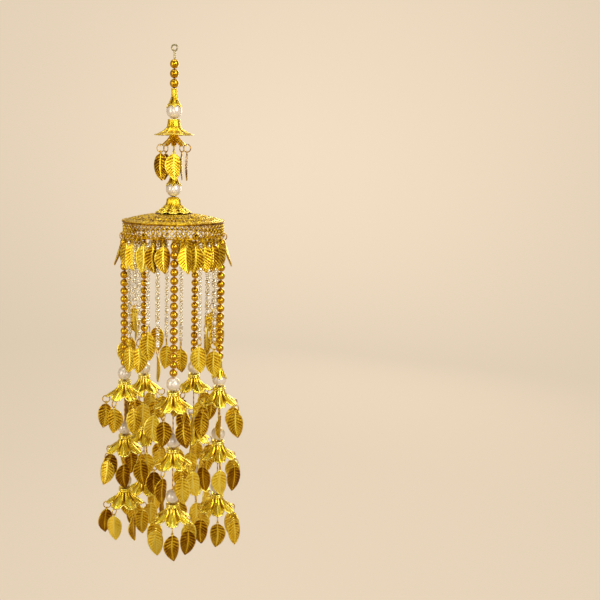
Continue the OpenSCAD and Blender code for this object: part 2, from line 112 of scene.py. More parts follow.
# Seat in diamonds, share of the longest chain, turn and tip side of the leaf of each inner chain
CHAINS = [
    [(5, 0.80, -25, 1), (7, 0.62, 40, -1), (9, 0.86, -60, 1)],
    [(18, 0.72, -100, 1), (20, 0.62, -110, 1), (22, 0.83, 160, -1)],
    [(28, 1.00, 178, 1), (31, 0.97, 165, -1), (33, 0.80, 150, 1)],
    [(39, 0.60, 130, 1), (41, 0.82, 80, -1), (43, 0.85, 110, 1)],
    [(50, 0.84, 30, -1), (52, 0.55, -35, 1), (53, 0.82, 20, -1), (55, 0.70, 25, 1), (57, 0.86, -60, 1)],
]
STAR_TURNS = [14, 12, -50, 20, 42]
# Painted light and shade of the star's five leaves, one by one
STAR_SHINES = [0.08, -0.45, -0.5, -0.25, -0.32]
PETAL_TURNS = [-50, 48, 10, -42, 55]
TURN_SHIFTS = [8, -12, 17, -5, 58, -19, 4]
DROP_TILTS = [0, 5, -4, 3, -2, 7]
LEAF_HANDS = [1, -1, -1, 1, 1]
FLOWER_TURNS = [(30, 30, 0), (0, 4, 0), (20, 50, 10), (40, 10, 25), (30, 0, 28)]
FLOWER_PETALS = 6

# One leaf seen flat: how far down, half its width and the sideways bend of its middle, as shares of its size
LEAF_ROWS = [
    (0.00, 0.08, 0.00),
    (0.05, 0.24, 0.00),
    (0.17, 0.41, -0.01),
    (0.34, 0.50, -0.03),
    (0.52, 0.50, -0.03),
    (0.69, 0.42, 0.00),
    (0.84, 0.28, 0.04),
    (1.00, 0.03, 0.11),
]


# Colours and node trees


def linear(hex_colour):
    """The linear colour of an sRGB hex value."""
    channels = [int(hex_colour[i:i + 2], 16) / 255 for i in (1, 3, 5)]
    lit = [c / 12.92 if c <= 0.04045 else ((c + 0.055) / 1.055) ** 2.4 for c in channels]
    return (*lit, 1.0)


def add(tree, kind, inputs=None, **settings):
    """Adds one node with its settings, and its inputs as values or links."""
    made = tree.nodes.new(kind)
    for key, value in settings.items():
        setattr(made, key, value)
    for key, value in (inputs or {}).items():
        if isinstance(value, bpy.types.NodeSocket):
            tree.links.new(value, made.inputs[key])
        else:
            made.inputs[key].default_value = value
    return made


def ramp(tree, factor, stops):
    """A colour ramp through (place, hex colour) stops."""
    made = add(tree, "ShaderNodeValToRGB", {"Fac": factor})
    elements = made.color_ramp.elements
    while len(elements) > 1:
        elements.remove(elements[-1])
    elements[0].position, elements[0].color = stops[0][0], linear(stops[0][1])
    for place, colour in stops[1:]:
        elements.new(place).color = linear(colour)
    return made.outputs["Color"]


def blank_material(name):
    """A new material with its shader, and the coordinates of the piece that it is painted on."""
    material = bpy.data.materials.new(name)
    material.use_nodes = True
    tree = material.node_tree
    tree.nodes.clear()
    shader = add(tree, "ShaderNodeBsdfPrincipled")
    add(tree, "ShaderNodeOutputMaterial", {"Surface": shader.outputs[0]})
    place = add(tree, "ShaderNodeTexCoord").outputs["Object"]
    return material, tree, shader, place


def gold(name, stops, roughness, grain_mm, grain_strength, cloud_mm=6.0, speck=0.0, leaf_tone_and_shade=False):
    """Plated metal coloured by its relief shade: painted shade where a point lies low and painted highlight
    where it stands proud, clouded and specked over a stamped grain.
    """
    speck_mm, cloud = 0.7, 0.16
    material, tree, shader, place = blank_material(name)
    shade_levels = [add(tree, "ShaderNodeAttribute", attribute_name="relief").outputs["Fac"]]
    patches = [(cloud_mm, 3.0, 0.2, cloud)]
    if speck:
        patches.append((speck_mm, 2.0, 0.12, speck))
    for width_mm, detail, half, swing in patches:
        noise = add(tree, "ShaderNodeTexNoise", {"Vector": place, "Scale": 1000 / width_mm, "Detail": detail})
        shift = add(tree, "ShaderNodeMapRange", {
            "Value": noise.outputs["Fac"], "From Min": 0.5 - half, "From Max": 0.5 + half,
            "To Min": -swing, "To Max": swing,
        }).outputs["Result"]
        height = add(tree, "ShaderNodeMath", {0: shade_levels[-1], 1: shift}, operation="ADD")
        shade_levels.append(height.outputs[0])
    factor = shade_levels[-1]
    # Each leaf adds its tone and its painted light and shade, read from an attribute
    if leaf_tone_and_shade:
        tone_and_shade = add(tree, "ShaderNodeAttribute", attribute_name="tone_and_shade").outputs["Fac"]
        factor = add(tree, "ShaderNodeMath", {0: factor, 1: tone_and_shade}, operation="ADD").outputs[0]
    shader.inputs["Metallic"].default_value = 1.0
    tree.links.new(ramp(tree, factor, stops), shader.inputs["Base Color"])
    dullness = add(tree, "ShaderNodeMapRange", {
        "Value": shade_levels[1], "From Min": 0.0, "From Max": 1.0, "To Min": roughness[1], "To Max": roughness[0],
    })
    tree.links.new(dullness.outputs["Result"], shader.inputs["Roughness"])
    grain = add(
        tree, "ShaderNodeTexVoronoi", {"Vector": place, "Scale": 1000 / grain_mm}, feature="SMOOTH_F1"
    )
    bump = add(tree, "ShaderNodeBump", {
        "Strength": grain_strength, "Distance": 0.15 * MM, "Height": grain.outputs["Distance"],
    }, invert=True)
    tree.links.new(bump.outputs["Normal"], shader.inputs["Normal"])
    return material


def pearl_coat():
    """Glass or plastic ball dipped in pearl essence: white body, grey-pink shade and a soft second gloss."""
    cloud_mm, wave_mm = 5.0, 1.2
    material, tree, shader, place = blank_material("imitation_pearl_lacquer")
    cloud = add(tree, "ShaderNodeTexNoise", {"Vector": place, "Scale": 1000 / cloud_mm, "Detail": 2.0})
    colour = ramp(tree, cloud.outputs["Fac"], [(0.3, "#CEC6BA"), (0.55, "#E4DED6"), (0.75, "#D4CECC")])
    tree.links.new(colour, shader.inputs["Base Color"])
    for label, value in (
        ("Metallic", 0.35), ("Roughness", 0.3), ("Coat Weight", 1.0), ("Coat Roughness", 0.06),
        ("Subsurface Weight", 0.05), ("Subsurface Scale", 1.5 * MM),
    ):
        shader.inputs[label].default_value = value
    waves = add(tree, "ShaderNodeTexNoise", {"Vector": place, "Scale": 1000 / wave_mm, "Detail": 2.0})
    bump = add(tree, "ShaderNodeBump", {
        "Strength": 0.1, "Distance": 0.1 * MM, "Height": waves.outputs["Fac"],
    })
    tree.links.new(bump.outputs["Normal"], shader.inputs["Normal"])
    return material


def gilt_silk():
    """Strong silk twisted with gilt strip, as the balls are threaded on: slanting bands of gold and shade."""
    twist_mm = 5.0
    material, tree, shader, place = blank_material("gilt_silk_thread")
    twist = add(
        tree, "ShaderNodeTexWave", {"Vector": place, "Scale": 1000 / twist_mm}, bands_direction="DIAGONAL"
    )
    colour = ramp(tree, twist.outputs["Fac"], [(0.2, "#9A6A1C"), (0.7, "#E2BC58")])
    tree.links.new(colour, shader.inputs["Base Color"])
    shader.inputs["Metallic"].default_value = 0.3
    shader.inputs["Roughness"].default_value = 0.5
    bump = add(tree, "ShaderNodeBump", {
        "Strength": 0.6, "Distance": 0.1 * MM, "Height": twist.outputs["Fac"],
    })
    tree.links.new(bump.outputs["Normal"], shader.inputs["Normal"])
    return material


def paper(name, colour, glow, painted_pool=False):
    """Matt paper with a faint mottle, partly lit from within so that no shadow falls hard on it."""
    material, tree, shader, place = blank_material(name)
    mottle = add(tree, "ShaderNodeTexNoise", {"Vector": place, "Scale": 0.8, "Detail": 1.0})
    tint = add(tree, "ShaderNodeMapRange", {"Value": mottle.outputs["Fac"], "To Min": 0.97, "To Max": 1.03})
    share = tint.outputs["Result"]
    # The backdrop's colour and glow take a painted pool of light from its lit attribute
    if painted_pool:
        lit = add(tree, "ShaderNodeAttribute", attribute_name="lit").outputs["Fac"]
        share = add(tree, "ShaderNodeMath", {0: share, 1: lit}, operation="MULTIPLY").outputs[0]
    mixed = add(tree, "ShaderNodeVectorMath", {0: colour[:3], "Scale": share}, operation="SCALE")
    faint = add(tree, "ShaderNodeVectorMath", {0: mixed.outputs[0], "Scale": 0.15}, operation="SCALE")
    tree.links.new(faint.outputs[0], shader.inputs["Base Color"])
    tree.links.new(mixed.outputs[0], shader.inputs["Emission Color"])
    shader.inputs["Emission Strength"].default_value = glow
    shader.inputs["Roughness"].default_value = 0.95
    shader.inputs["Specular IOR Level"].default_value = 0.0
    return material


# Meshes


def in_scene(name, data):
    """An object with this data, linked to the scene."""
    made = bpy.data.objects.new(name, data)
    bpy.context.scene.collection.objects.link(made)
    return made


def mesh_object(name, points, faces, relief):
    """A mesh in metres from points in millimetres, with its faces turned outwards."""
    mesh = bpy.data.meshes.new(name)
    mesh.from_pydata([Vector(p) * MM for p in points], [], faces)
    mesh.attributes.new("relief", "FLOAT", "POINT").data.foreach_set("value", relief)
    work = bmesh.new()
    work.from_mesh(mesh)
    bmesh.ops.recalc_face_normals(work, faces=work.faces)
    work.to_mesh(mesh)
    work.free()
    mesh.shade_smooth()
    return in_scene(name, mesh)


def merged(name, parts):
    """One object from several parts of points, faces and relief shade, the painted shade and highlight of
    each point.
    """
    points, faces, relief = [], [], []
    for part_points, part_faces, part_shade in parts:
        start = len(points)
        points += part_points
        faces += [[i + start for i in face] for face in part_faces]
        relief += part_shade
    return mesh_object(name, points, faces, relief)


def single_shape(name, *parts):
    """A shape that is only copied from, and so is taken out of the scene again."""
    shape = merged(name, parts)
    bpy.context.scene.collection.objects.unlink(shape)
    return shape


def point_host(name, spots=(), edges=()):
    """Bare points in millimetres for a tree to work on."""
    mesh = bpy.data.meshes.new(name)
    mesh.from_pydata([spot * MM for spot in spots], edges, [])
    return in_scene(name, mesh)


def moved(part, matrix):
    points, faces, relief = part
    return [matrix @ Vector(p) for p in points], faces, relief


def grid_faces(rows, columns, closed=True):
    """Quads between rows of points, where closed rows meet round an axis."""
    across = columns if closed else columns - 1
    faces = []
    for i in range(rows - 1):
        for j in range(across):
            k = (j + 1) % columns
            faces.append([i * columns + j, i * columns + k, (i + 1) * columns + k, (i + 1) * columns + j])
    return faces


def hoop_faces(rows, columns):
    """Quads between closed rows of points whose last row meets the first."""
    last = (rows - 1) * columns
    closing = [[last + j, last + (j + 1) % columns, (j + 1) % columns, j] for j in range(columns)]
    return grid_faces(rows, columns) + closing


def rod_faces(rows, columns):
    """Quads between closed rows of points, with a face over either end."""
    ends = [[row * columns + j for j in range(columns)] for row in (0, rows - 1)]
    return grid_faces(rows, columns) + ends


def circle_outline(radius, wire, sides, height=0.0):
    """Outline of a round wire at a distance from the axis."""
    turns = [FULL_TURN * n / sides for n in range(sides)]
    return [(radius + wire * math.cos(turn), height + wire * math.sin(turn)) for turn in turns]


def lathe(profile, columns, relief=0.6):
    """A closed ring turned from a closed outline of (radius, height)."""
    points = []
    for radius, height in profile:
        for j in range(columns):
            angle = FULL_TURN * j / columns
            points.append((radius * math.cos(angle), radius * math.sin(angle), height))
    return points, hoop_faces(len(profile), columns), [relief] * len(points)


def wire_loop(path, radius, sides, relief):
    """A closed wire along a loop of points."""
    points = []
    count = len(path)
    for i, here in enumerate(path):
        along = (path[(i + 1) % count] - path[i - 1]).normalized()
        side = along.cross(Vector((0, 0, 1))).normalized()
        up = side.cross(along)
        for j in range(sides):
            angle = FULL_TURN * j / sides
            points.append(here + radius * (math.cos(angle) * side + math.sin(angle) * up))
    return points, hoop_faces(count, sides), [relief] * len(points)


def ball_part(radius, bore, columns, rows, relief=0.6):
    """A drilled ball with a turned-in lip at both ends of its hole."""
    start = math.asin(bore / radius)
    outline = []
    for i in range(rows + 1):
        angle = start + (math.pi - 2 * start) * i / rows
        outline.append((radius * math.sin(angle), radius * math.cos(angle)))
    lip, depth = 0.92 * bore, outline[0][1] - 0.25 * bore
    return lathe(outline + [(lip, -depth), (lip, depth)], columns, relief)


def smooth_rows(rows, at):
    """Each value of a table of rows at a place down it, with the slopes joined smoothly."""
    last = len(rows) - 1
    i = 0
    while i < last - 1 and rows[i + 1][0] < at:
        i += 1
    a, b = rows[max(i - 1, 0)], rows[i]
    c, d = rows[i + 1], rows[min(i + 2, last)]
    t = (at - b[0]) / (c[0] - b[0])
    values = []
    for k in range(1, len(b)):
        rise_b = (c[k] - a[k]) / (c[0] - a[0]) * (c[0] - b[0])
        rise_c = (d[k] - b[k]) / (d[0] - b[0]) * (c[0] - b[0])
        values.append(
            (2 * t ** 3 - 3 * t ** 2 + 1) * b[k] + (t ** 3 - 2 * t ** 2 + t) * rise_b
            + (3 * t ** 2 - 2 * t ** 3) * c[k] + (t ** 3 - t ** 2) * rise_c
        )
    return values


def leaf_part(sizes, hand):
    """One stamped leaf that hangs from its neck, with swept veins, a raised rim and an eyelet."""
    rows, columns = 40, 13
    rib_share = edge_share = 0.16
    points, relief = [], []
    for side in (1, -1):
        for i in range(rows + 1):
            down = i / rows
            wave = math.cos(FULL_TURN * sizes.vein_count * down)
            fade = min(1.0, 8 * down, 9 * (1 - down))
            for j in range(columns):
                across = -1 + 2 * j / (columns - 1)
                out = abs(across)
                swept = down + LEAF_SWEEP * out * 4 * down * (1 - down)
                half, bend = smooth_rows(LEAF_ROWS, swept)
                x = hand * (bend + across * half) * sizes.leaf_width
                z = -LEAF_NECK - swept * sizes.leaf_length
                # The middle rib, the side veins and the rolled edge, as shares of the height of a vein
                rib = 1.2 * max(0.0, 1 - out / rib_share) ** 0.7
                vein = 0.85 * max(0.0, wave) * (1 - 0.25 * out) * fade
                edge = 1.2 * max(0.0, 1 - (1 - out) / edge_share)
                proud = max(rib, vein, edge)
                cup = LEAF_CUP - math.sqrt(LEAF_CUP ** 2 - x ** 2)
                points.append((x, cup - side * 0.5 * sizes.leaf_sheet - sizes.vein_height * proud, z))
                # Painted highlights brighten the middle rib, the veins and the rolled edge, and painted shade
                # gathers in the grooves between the veins
                groove = max(0.0, -wave) * fade * min(1.0, 5 * out)
                relief.append(min(0.95, 0.36 + 0.5 * proud - 0.24 * groove))
    count = (rows + 1) * columns
    front = grid_faces(rows + 1, columns, False)
    back = [[i + count for i in reversed(face)] for face in front]
    around = list(range(columns))
    around += [i * columns + columns - 1 for i in range(1, rows + 1)]
    around += [rows * columns + j for j in range(columns - 2, -1, -1)]
    around += [i * columns for i in range(rows - 1, 0, -1)]
    rim = [[i, k, k + count, i + count] for i, k in zip(around, around[1:] + around[:1])]
    blade = (points, front + back + rim, relief)
    eyelet = moved(lathe(circle_outline(0.62, 0.25, 6), 12, 0.8), Matrix.Rotation(math.pi / 2, 4, "X"))
    neck = lathe([(0.05, -0.5), (0.42, -0.5), (0.5, -1.4), (0.05, -1.4)], 8, 0.8)
    return [blade, eyelet, neck]


def jump_ring_part():
    """A round wire ring in the YZ plane whose cut ends nearly meet at one side."""
    steps, sides, cut = 26, 6, 0.07
    points = []
    for i in range(steps + 1):
        angle = cut + (FULL_TURN - 2 * cut) * i / steps
        for reach, side in circle_outline(RING_RADIUS, RING_WIRE, sides):
            points.append((side, reach * math.cos(angle), reach * math.sin(angle)))
    return points, rod_faces(steps + 1, sides), [0.75] * len(points)


# Stamped caps


def off_middle(angle, count):
    """How far an angle is from the nearest of so many petals, points or arms."""
    step = FULL_TURN / count
    return abs((angle + step / 2) % step - step / 2)


def lobed_reach(petals, tip, lobe):
    """How far a ring of round petals reaches at an angle, as a function."""
    centre, valley = tip - lobe, tip - 1.2 * lobe

    def reach(angle):
        off = off_middle(angle, petals)
        side = centre * math.sin(off)
        if side >= lobe:
            return valley
        return max(valley, centre * math.cos(off) + math.sqrt(lobe ** 2 - side ** 2))
    return reach


def pointed_reach(points, tip, notch):
    """How far a rim of straight-sided points reaches at an angle, as a function."""
    half = math.pi / points

    def reach(angle):
        off = off_middle(angle, points)
        return tip * notch * math.sin(half) / (tip * math.sin(off) + notch * math.sin(half - off))
    return reach


def arm_reach(arms, tip, root_half, tip_half, hub):
    """How far narrow arms with blunt ends reach at an angle, as a function."""
    taper = (root_half - tip_half) / tip

    def reach(angle):
        off = off_middle(angle, arms)
        along = root_half / (math.sin(off) + taper * math.cos(off))
        return max(hub, min(along, tip / math.cos(off)))
    return reach


def cap_part(shape, reach, flutes, flute_depth, ribs, rib_depth, columns, rows, bore=0.6, sheet=0.4, top=0.0,
             shoulder=0.0, curl_up=0.0, pleats=0.0, lace=0.0, inside_shade=0.22, painted_light=0.0, fringe=0.1):
    """A stamped cap: plate, neck and bell out to a shaped rim, with flutes between its ribbed petals."""
    neck, neck_length, curl = shape["neck"], shape["neck_length"], shape["curl"]
    run = shape["rim"] - neck
    fall = shape["height"] - neck_length
    low = top - shoulder
    outline = []
    for share in (0.0, 0.35, 0.7, 0.92):
        radius = bore + (neck - bore) * share
        outline.append(("plate", radius, top - shoulder * (radius / neck) ** 4))
    for share in (0.0, 0.33, 0.67):
        outline.append(("neck", neck, low - (neck_length + low) * share))
    over_bell = len(outline)
    outline += [("bell", i / rows, 0.0) for i in range(rows + 1)]
    inside = outline[:over_bell] + outline[over_bell::2]
    points, relief = [], []
    for side, side_rows in enumerate((outline, inside)):
        for kind, first, second in side_rows:
            spread = first if kind == "bell" else 0.0
            swell = math.sin(math.pi * min(1.0, 0.12 + 0.75 * spread))
            for j in range(columns):
                angle = FULL_TURN * j / columns
                # A bell drops steeply from its neck and flares out to its rim
                if kind == "bell":
                    radius = neck + (reach(angle) - neck) * spread
                    share = max(0.0, (radius - neck) / run)
                    z = -neck_length - fall * share ** (1 / curl)
                    slope = fall / max(0.3, run * curl * share ** (1 - 1 / curl))
                else:
                    radius, z = first, second
                    slope = 0.05 if kind == "plate" else 6.0
                out, up = slope / math.hypot(1, slope), 1 / math.hypot(1, slope)
                # Flutes between the petals, ribs and lace along them and pleats on the neck
                ribbed = math.cos(flutes * ribs * angle)
                pleat = pleats * math.cos(2 * flutes * angle + math.pi) * max(0.0, 1 - 1.6 * spread)
                flute = flute_depth * (math.cos(flutes * angle) * swell + 0.55 * pleat)
                rib = ribbed * min(1.0, 2 * spread)
                rib = rib_depth * (rib + lace * math.cos(FULL_TURN * 3.5 * spread + 1.5 * ribbed))
                lift = rib + curl_up * max(0.0, spread - 0.8) / 0.2 - side * sheet
                if kind != "plate":
                    lift += flute
                far = radius + out * lift
                points.append((far * math.sin(angle), -far * math.cos(angle), z + up * lift))
                # Painted highlights brighten the ridges and the fringe of the rim, painted highlight and
                # shade stripe the pleats, and painted shade browns the hollows
                proud = 0.5 + 0.42 * (flute + rib) / (flute_depth + rib_depth) + 0.3 * pleat
                proud = max(proud, 0.95 * max(0.0, spread - 1 + fringe) / fringe)
                # Painted shade darkens the inside of a cap by a share, and painted light can lighten the
                # outside
                relief.append(inside_shade * proud if side else min(1.0, proud + painted_light))
    count = len(outline) * columns
    last, inside_last = count - columns, len(points) - columns
    faces = grid_faces(len(outline), columns)
    faces += [[i + count for i in reversed(face)] for face in grid_faces(len(inside), columns)]
    for j in range(columns):
        k = (j + 1) % columns
        faces.append([last + j, last + k, inside_last + k, inside_last + j])
        faces.append([k, j, j + count, k + count])
    return points, faces, relief


def outward(angle, radius, height=0.0):
    """A point at an angle round the axis from the front, anticlockwise from above."""
    return Vector((radius * math.sin(angle), -radius * math.cos(angle), height))


def bell_spot(shape, reach, angle, share, lift):
    """A point over the outside of a bell, at a share of the way from its neck to its shaped rim."""
    neck, neck_length = shape["neck"], shape["neck_length"]
    radius = neck + (reach(angle) - neck) * share
    drop = max(0.0, (radius - neck) / (shape["rim"] - neck)) ** (1 / shape["curl"])
    return outward(angle, radius, lift - neck_length - (shape["height"] - neck_length) * drop)


def rim_wire(shape, reach, wire, columns=144, lift=0.0, share=1.0):
    """A bright wire soldered along the shaped rim of a cap, or inside it."""
    path = [bell_spot(shape, reach, FULL_TURN * j / columns, share, lift) for j in range(columns)]
    return wire_loop(path, wire, 6, 1.0)


def petal_granules(shape, reach, petals, rows, spread):
    """Places of the granules that follow the rim of each petal in rows, one row inside another."""
    spots = []
    for share, number in rows:
        for i in range(petals * number):
            angle = FULL_TURN * (i + 0.5) / (petals * number)
            if off_middle(angle, petals) < spread * math.pi / petals:
                spots.append(bell_spot(shape, reach, angle, share, 0.12))
    return spots


# Geometry Nodes


def new_tree(name, sockets):
    """An empty geometry tree with its named inputs."""
    tree = bpy.data.node_groups.new(name, "GeometryNodeTree")
    tree.interface.new_socket("Geometry", in_out="INPUT", socket_type="NodeSocketGeometry")
    for label, kind in sockets:
        tree.interface.new_socket(label, in_out="INPUT", socket_type="NodeSocket" + kind)
    tree.interface.new_socket("Geometry", in_out="OUTPUT", socket_type="NodeSocketGeometry")
    return tree, add(tree, "NodeGroupInput").outputs


def close_tree(tree, geometry, material):
    """Ends a tree in real geometry with its material."""
    real = add(tree, "GeometryNodeRealizeInstances", {"Geometry": geometry})
    painted = add(tree, "GeometryNodeSetMaterial", {"Geometry": real.outputs[0], "Material": material})
    smooth = add(tree, "GeometryNodeSetShadeSmooth", {"Geometry": painted.outputs[0]})
    add(tree, "NodeGroupOutput", {"Geometry": smooth.outputs[0]})


def run_tree(host, tree, values):
    """Turns what a tree makes on a host into the host's own plain mesh."""
    modifier = host.modifiers.new(tree.name, "NODES")
    modifier.node_group = tree
    for item in tree.interface.items_tree:
        if item.item_type == "SOCKET" and item.in_out == "INPUT" and item.name in values:
            modifier[item.identifier] = values[item.name]
    host.update_tag()
    graph = bpy.context.evaluated_depsgraph_get()
    mesh = bpy.data.meshes.new_from_object(
        host.evaluated_get(graph), preserve_all_data_layers=True, depsgraph=graph
    )
    host.modifiers.clear()
    host.data = mesh
    if not mesh.polygons:
        raise RuntimeError("the tree " + tree.name + " made nothing on " + host.name)
    return host


def hanging_tree():
    """Shapes from a collection on points that say which shape, how it is turned and its tone with painted
    light and shade.
    """
    tree, given = new_tree("hang_shapes", [("Shapes", "Collection"), ("Metal", "Material")])
    shapes = add(tree, "GeometryNodeCollectionInfo", {
        "Collection": given["Shapes"], "Separate Children": True, "Reset Children": True,
    })
    pick = add(tree, "GeometryNodeInputNamedAttribute", {"Name": "pick"}, data_type="INT")
    spin = add(tree, "GeometryNodeInputNamedAttribute", {"Name": "spin"}, data_type="FLOAT_VECTOR")
    turned = add(tree, "FunctionNodeEulerToRotation", {0: spin.outputs["Attribute"]})
    placed = add(tree, "GeometryNodeInstanceOnPoints", {
        "Points": given["Geometry"], "Instance": shapes.outputs[0], "Pick Instance": True,
        "Instance Index": pick.outputs["Attribute"], "Rotation": turned.outputs[0],
    })
    close_tree(tree, placed.outputs[0], given["Metal"])
    return tree


def threading_tree():
    """Beads one under another on a thread."""
    tree, given = new_tree("thread_beads", [
        ("Bead", "Object"), ("Count", "Int"), ("First", "Vector"), ("Pitch", "Float"),
        ("Surface", "Material"),
    ])
    down = add(tree, "ShaderNodeMath", {0: given["Pitch"], 1: -1.0}, operation="MULTIPLY")
    step = add(tree, "ShaderNodeCombineXYZ", {"Z": down.outputs[0]})
    line = add(tree, "GeometryNodeMeshLine", {
        "Count": given["Count"], "Start Location": given["First"], "Offset": step.outputs[0],
    }, mode="OFFSET")
    bead = add(tree, "GeometryNodeObjectInfo", {"Object": given["Bead"], "As Instance": True})
    placed = add(tree, "GeometryNodeInstanceOnPoints", {
        "Points": line.outputs[0], "Instance": bead.outputs["Geometry"],
    })
    close_tree(tree, placed.outputs[0], given["Surface"])
    return tree


def linking_tree():
    """Links along the edges of the host, each turned a quarter from the last, or only every so many."""
    tree, given = new_tree("link_chain", [
        ("Link", "Object"), ("Pitch", "Float"), ("Every", "Int"), ("Metal", "Material"),
    ])
    line = add(tree, "GeometryNodeMeshToCurve", {0: given["Geometry"]})
    spaced = add(tree, "GeometryNodeResampleCurve", {
        "Curve": line.outputs[0], "Length": given["Pitch"],
    }, mode="LENGTH")
    index = add(tree, "GeometryNodeInputIndex").outputs[0]
    quarter = add(tree, "ShaderNodeMath", {0: index, 1: math.pi / 2}, operation="MULTIPLY")
    spin = add(tree, "ShaderNodeCombineXYZ", {"Z": quarter.outputs[0]})
    turned = add(tree, "FunctionNodeEulerToRotation", {0: spin.outputs[0]})
    rest = add(tree, "ShaderNodeMath", {0: index, 1: given["Every"]}, operation="MODULO")
    chosen = add(tree, "ShaderNodeMath", {0: rest.outputs[0], 1: 0.5}, operation="LESS_THAN")
    link = add(tree, "GeometryNodeObjectInfo", {"Object": given["Link"], "As Instance": True})
    placed = add(tree, "GeometryNodeInstanceOnPoints", {
        "Points": spaced.outputs[0], "Selection": chosen.outputs[0],
        "Instance": link.outputs["Geometry"], "Rotation": turned.outputs[0],
    })
    close_tree(tree, placed.outputs[0], given["Metal"])
    return tree


def granule_tree():
    """A granule on every point of the host."""
    tree, given = new_tree("granulate", [("Granule", "Object"), ("Metal", "Material")])
    grain = add(tree, "GeometryNodeObjectInfo", {"Object": given["Granule"], "As Instance": True})
    size = add(tree, "FunctionNodeRandomValue", {2: 0.8, 3: 1.15, "Seed": 5}, data_type="FLOAT")
    placed = add(tree, "GeometryNodeInstanceOnPoints", {
        "Points": given["Geometry"], "Instance": grain.outputs["Geometry"], "Scale": size.outputs[1],
    })
    close_tree(tree, placed.outputs[0], given["Metal"])
    return tree


def round_axis(tree, shape, count):
    """Copies of a shape round the axis, each turned to face outwards."""
    spots = add(tree, "GeometryNodeMeshLine", {"Count": count, "Offset": (0.0, 0.0, 0.0)}, mode="OFFSET")
    index = add(tree, "GeometryNodeInputIndex").outputs[0]
    step = add(tree, "ShaderNodeMath", {0: FULL_TURN, 1: count}, operation="DIVIDE").outputs[0]
    turn = add(tree, "ShaderNodeMath", {0: index, 1: step}, operation="MULTIPLY").outputs[0]
    spin = add(tree, "ShaderNodeCombineXYZ", {"Z": turn})
    turned = add(tree, "FunctionNodeEulerToRotation", {0: spin.outputs[0]})
    placed = add(tree, "GeometryNodeInstanceOnPoints", {
        "Points": spots.outputs[0], "Instance": shape, "Rotation": turned.outputs[0],
    })
    return placed.outputs[0]


def trellis_tree():
    """Wires that lean both ways up a drum and cross."""
    tree, given = new_tree("trellis", [
        ("Radius", "Float"), ("Low", "Float"), ("Height", "Float"), ("Wires", "Int"),
        ("Lean", "Float"), ("Start", "Float"), ("Wire", "Float"), ("Metal", "Material"),
    ])
    # The wires take a mid brown painted shade
    steps, sides, wire_shade = 7, 6, 0.42
    both = add(tree, "GeometryNodeJoinGeometry")
    for way in (1.0, -1.0):
        line = add(tree, "GeometryNodeMeshLine", {"Count": steps + 1}, mode="OFFSET")
        index = add(tree, "GeometryNodeInputIndex").outputs[0]
        share = add(tree, "ShaderNodeMath", {0: index, 1: float(steps)}, operation="DIVIDE").outputs[0]
        angle = share
        for operation, other in (("MULTIPLY", given["Lean"]), ("MULTIPLY", way), ("ADD", given["Start"])):
            angle = add(tree, "ShaderNodeMath", {0: angle, 1: other}, operation=operation).outputs[0]
        place = {}
        for axis, value, sums in (
            ("X", angle, (("SINE", 0.0), ("MULTIPLY", given["Radius"]))),
            ("Y", angle, (("COSINE", 0.0), ("MULTIPLY", given["Radius"]), ("MULTIPLY", -1.0))),
            ("Z", share, (("MULTIPLY", given["Height"]), ("ADD", given["Low"]))),
        ):
            for operation, other in sums:
                value = add(tree, "ShaderNodeMath", {0: value, 1: other}, operation=operation).outputs[0]
            place[axis] = value
        spot = add(tree, "ShaderNodeCombineXYZ", place).outputs[0]
        bent = add(tree, "GeometryNodeSetPosition", {"Geometry": line.outputs[0], "Position": spot})
        curve = add(tree, "GeometryNodeMeshToCurve", {0: bent.outputs[0]})
        section = add(tree, "GeometryNodeCurvePrimitiveCircle", {
            "Resolution": sides, "Radius": given["Wire"],
        })
        bare = add(tree, "GeometryNodeCurveToMesh", {
            "Curve": curve.outputs[0], "Profile Curve": section.outputs[0], "Fill Caps": True,
        })
        strut = add(tree, "GeometryNodeStoreNamedAttribute", {
            "Geometry": bare.outputs[0], "Name": "relief", "Value": wire_shade,
        }, data_type="FLOAT", domain="POINT")
        tree.links.new(round_axis(tree, strut.outputs[0], given["Wires"]), both.inputs[0])
    close_tree(tree, both.outputs[0], given["Metal"])
    return tree


def circling_tree():
    """One shape repeated round the axis."""
    tree, given = new_tree("circle_shapes", [("Shape", "Object"), ("Count", "Int"), ("Metal", "Material")])
    shape = add(tree, "GeometryNodeObjectInfo", {"Object": given["Shape"], "As Instance": True})
    close_tree(tree, round_axis(tree, shape.outputs["Geometry"], given["Count"]), given["Metal"])
    return tree


# The object's own pieces


class Workshop:
    """Materials, trees and single shapes, each made once."""

    made = {}

    @classmethod
    def get(cls, name, maker):
        if name not in cls.made:
            cls.made[name] = maker()
        return cls.made[name]
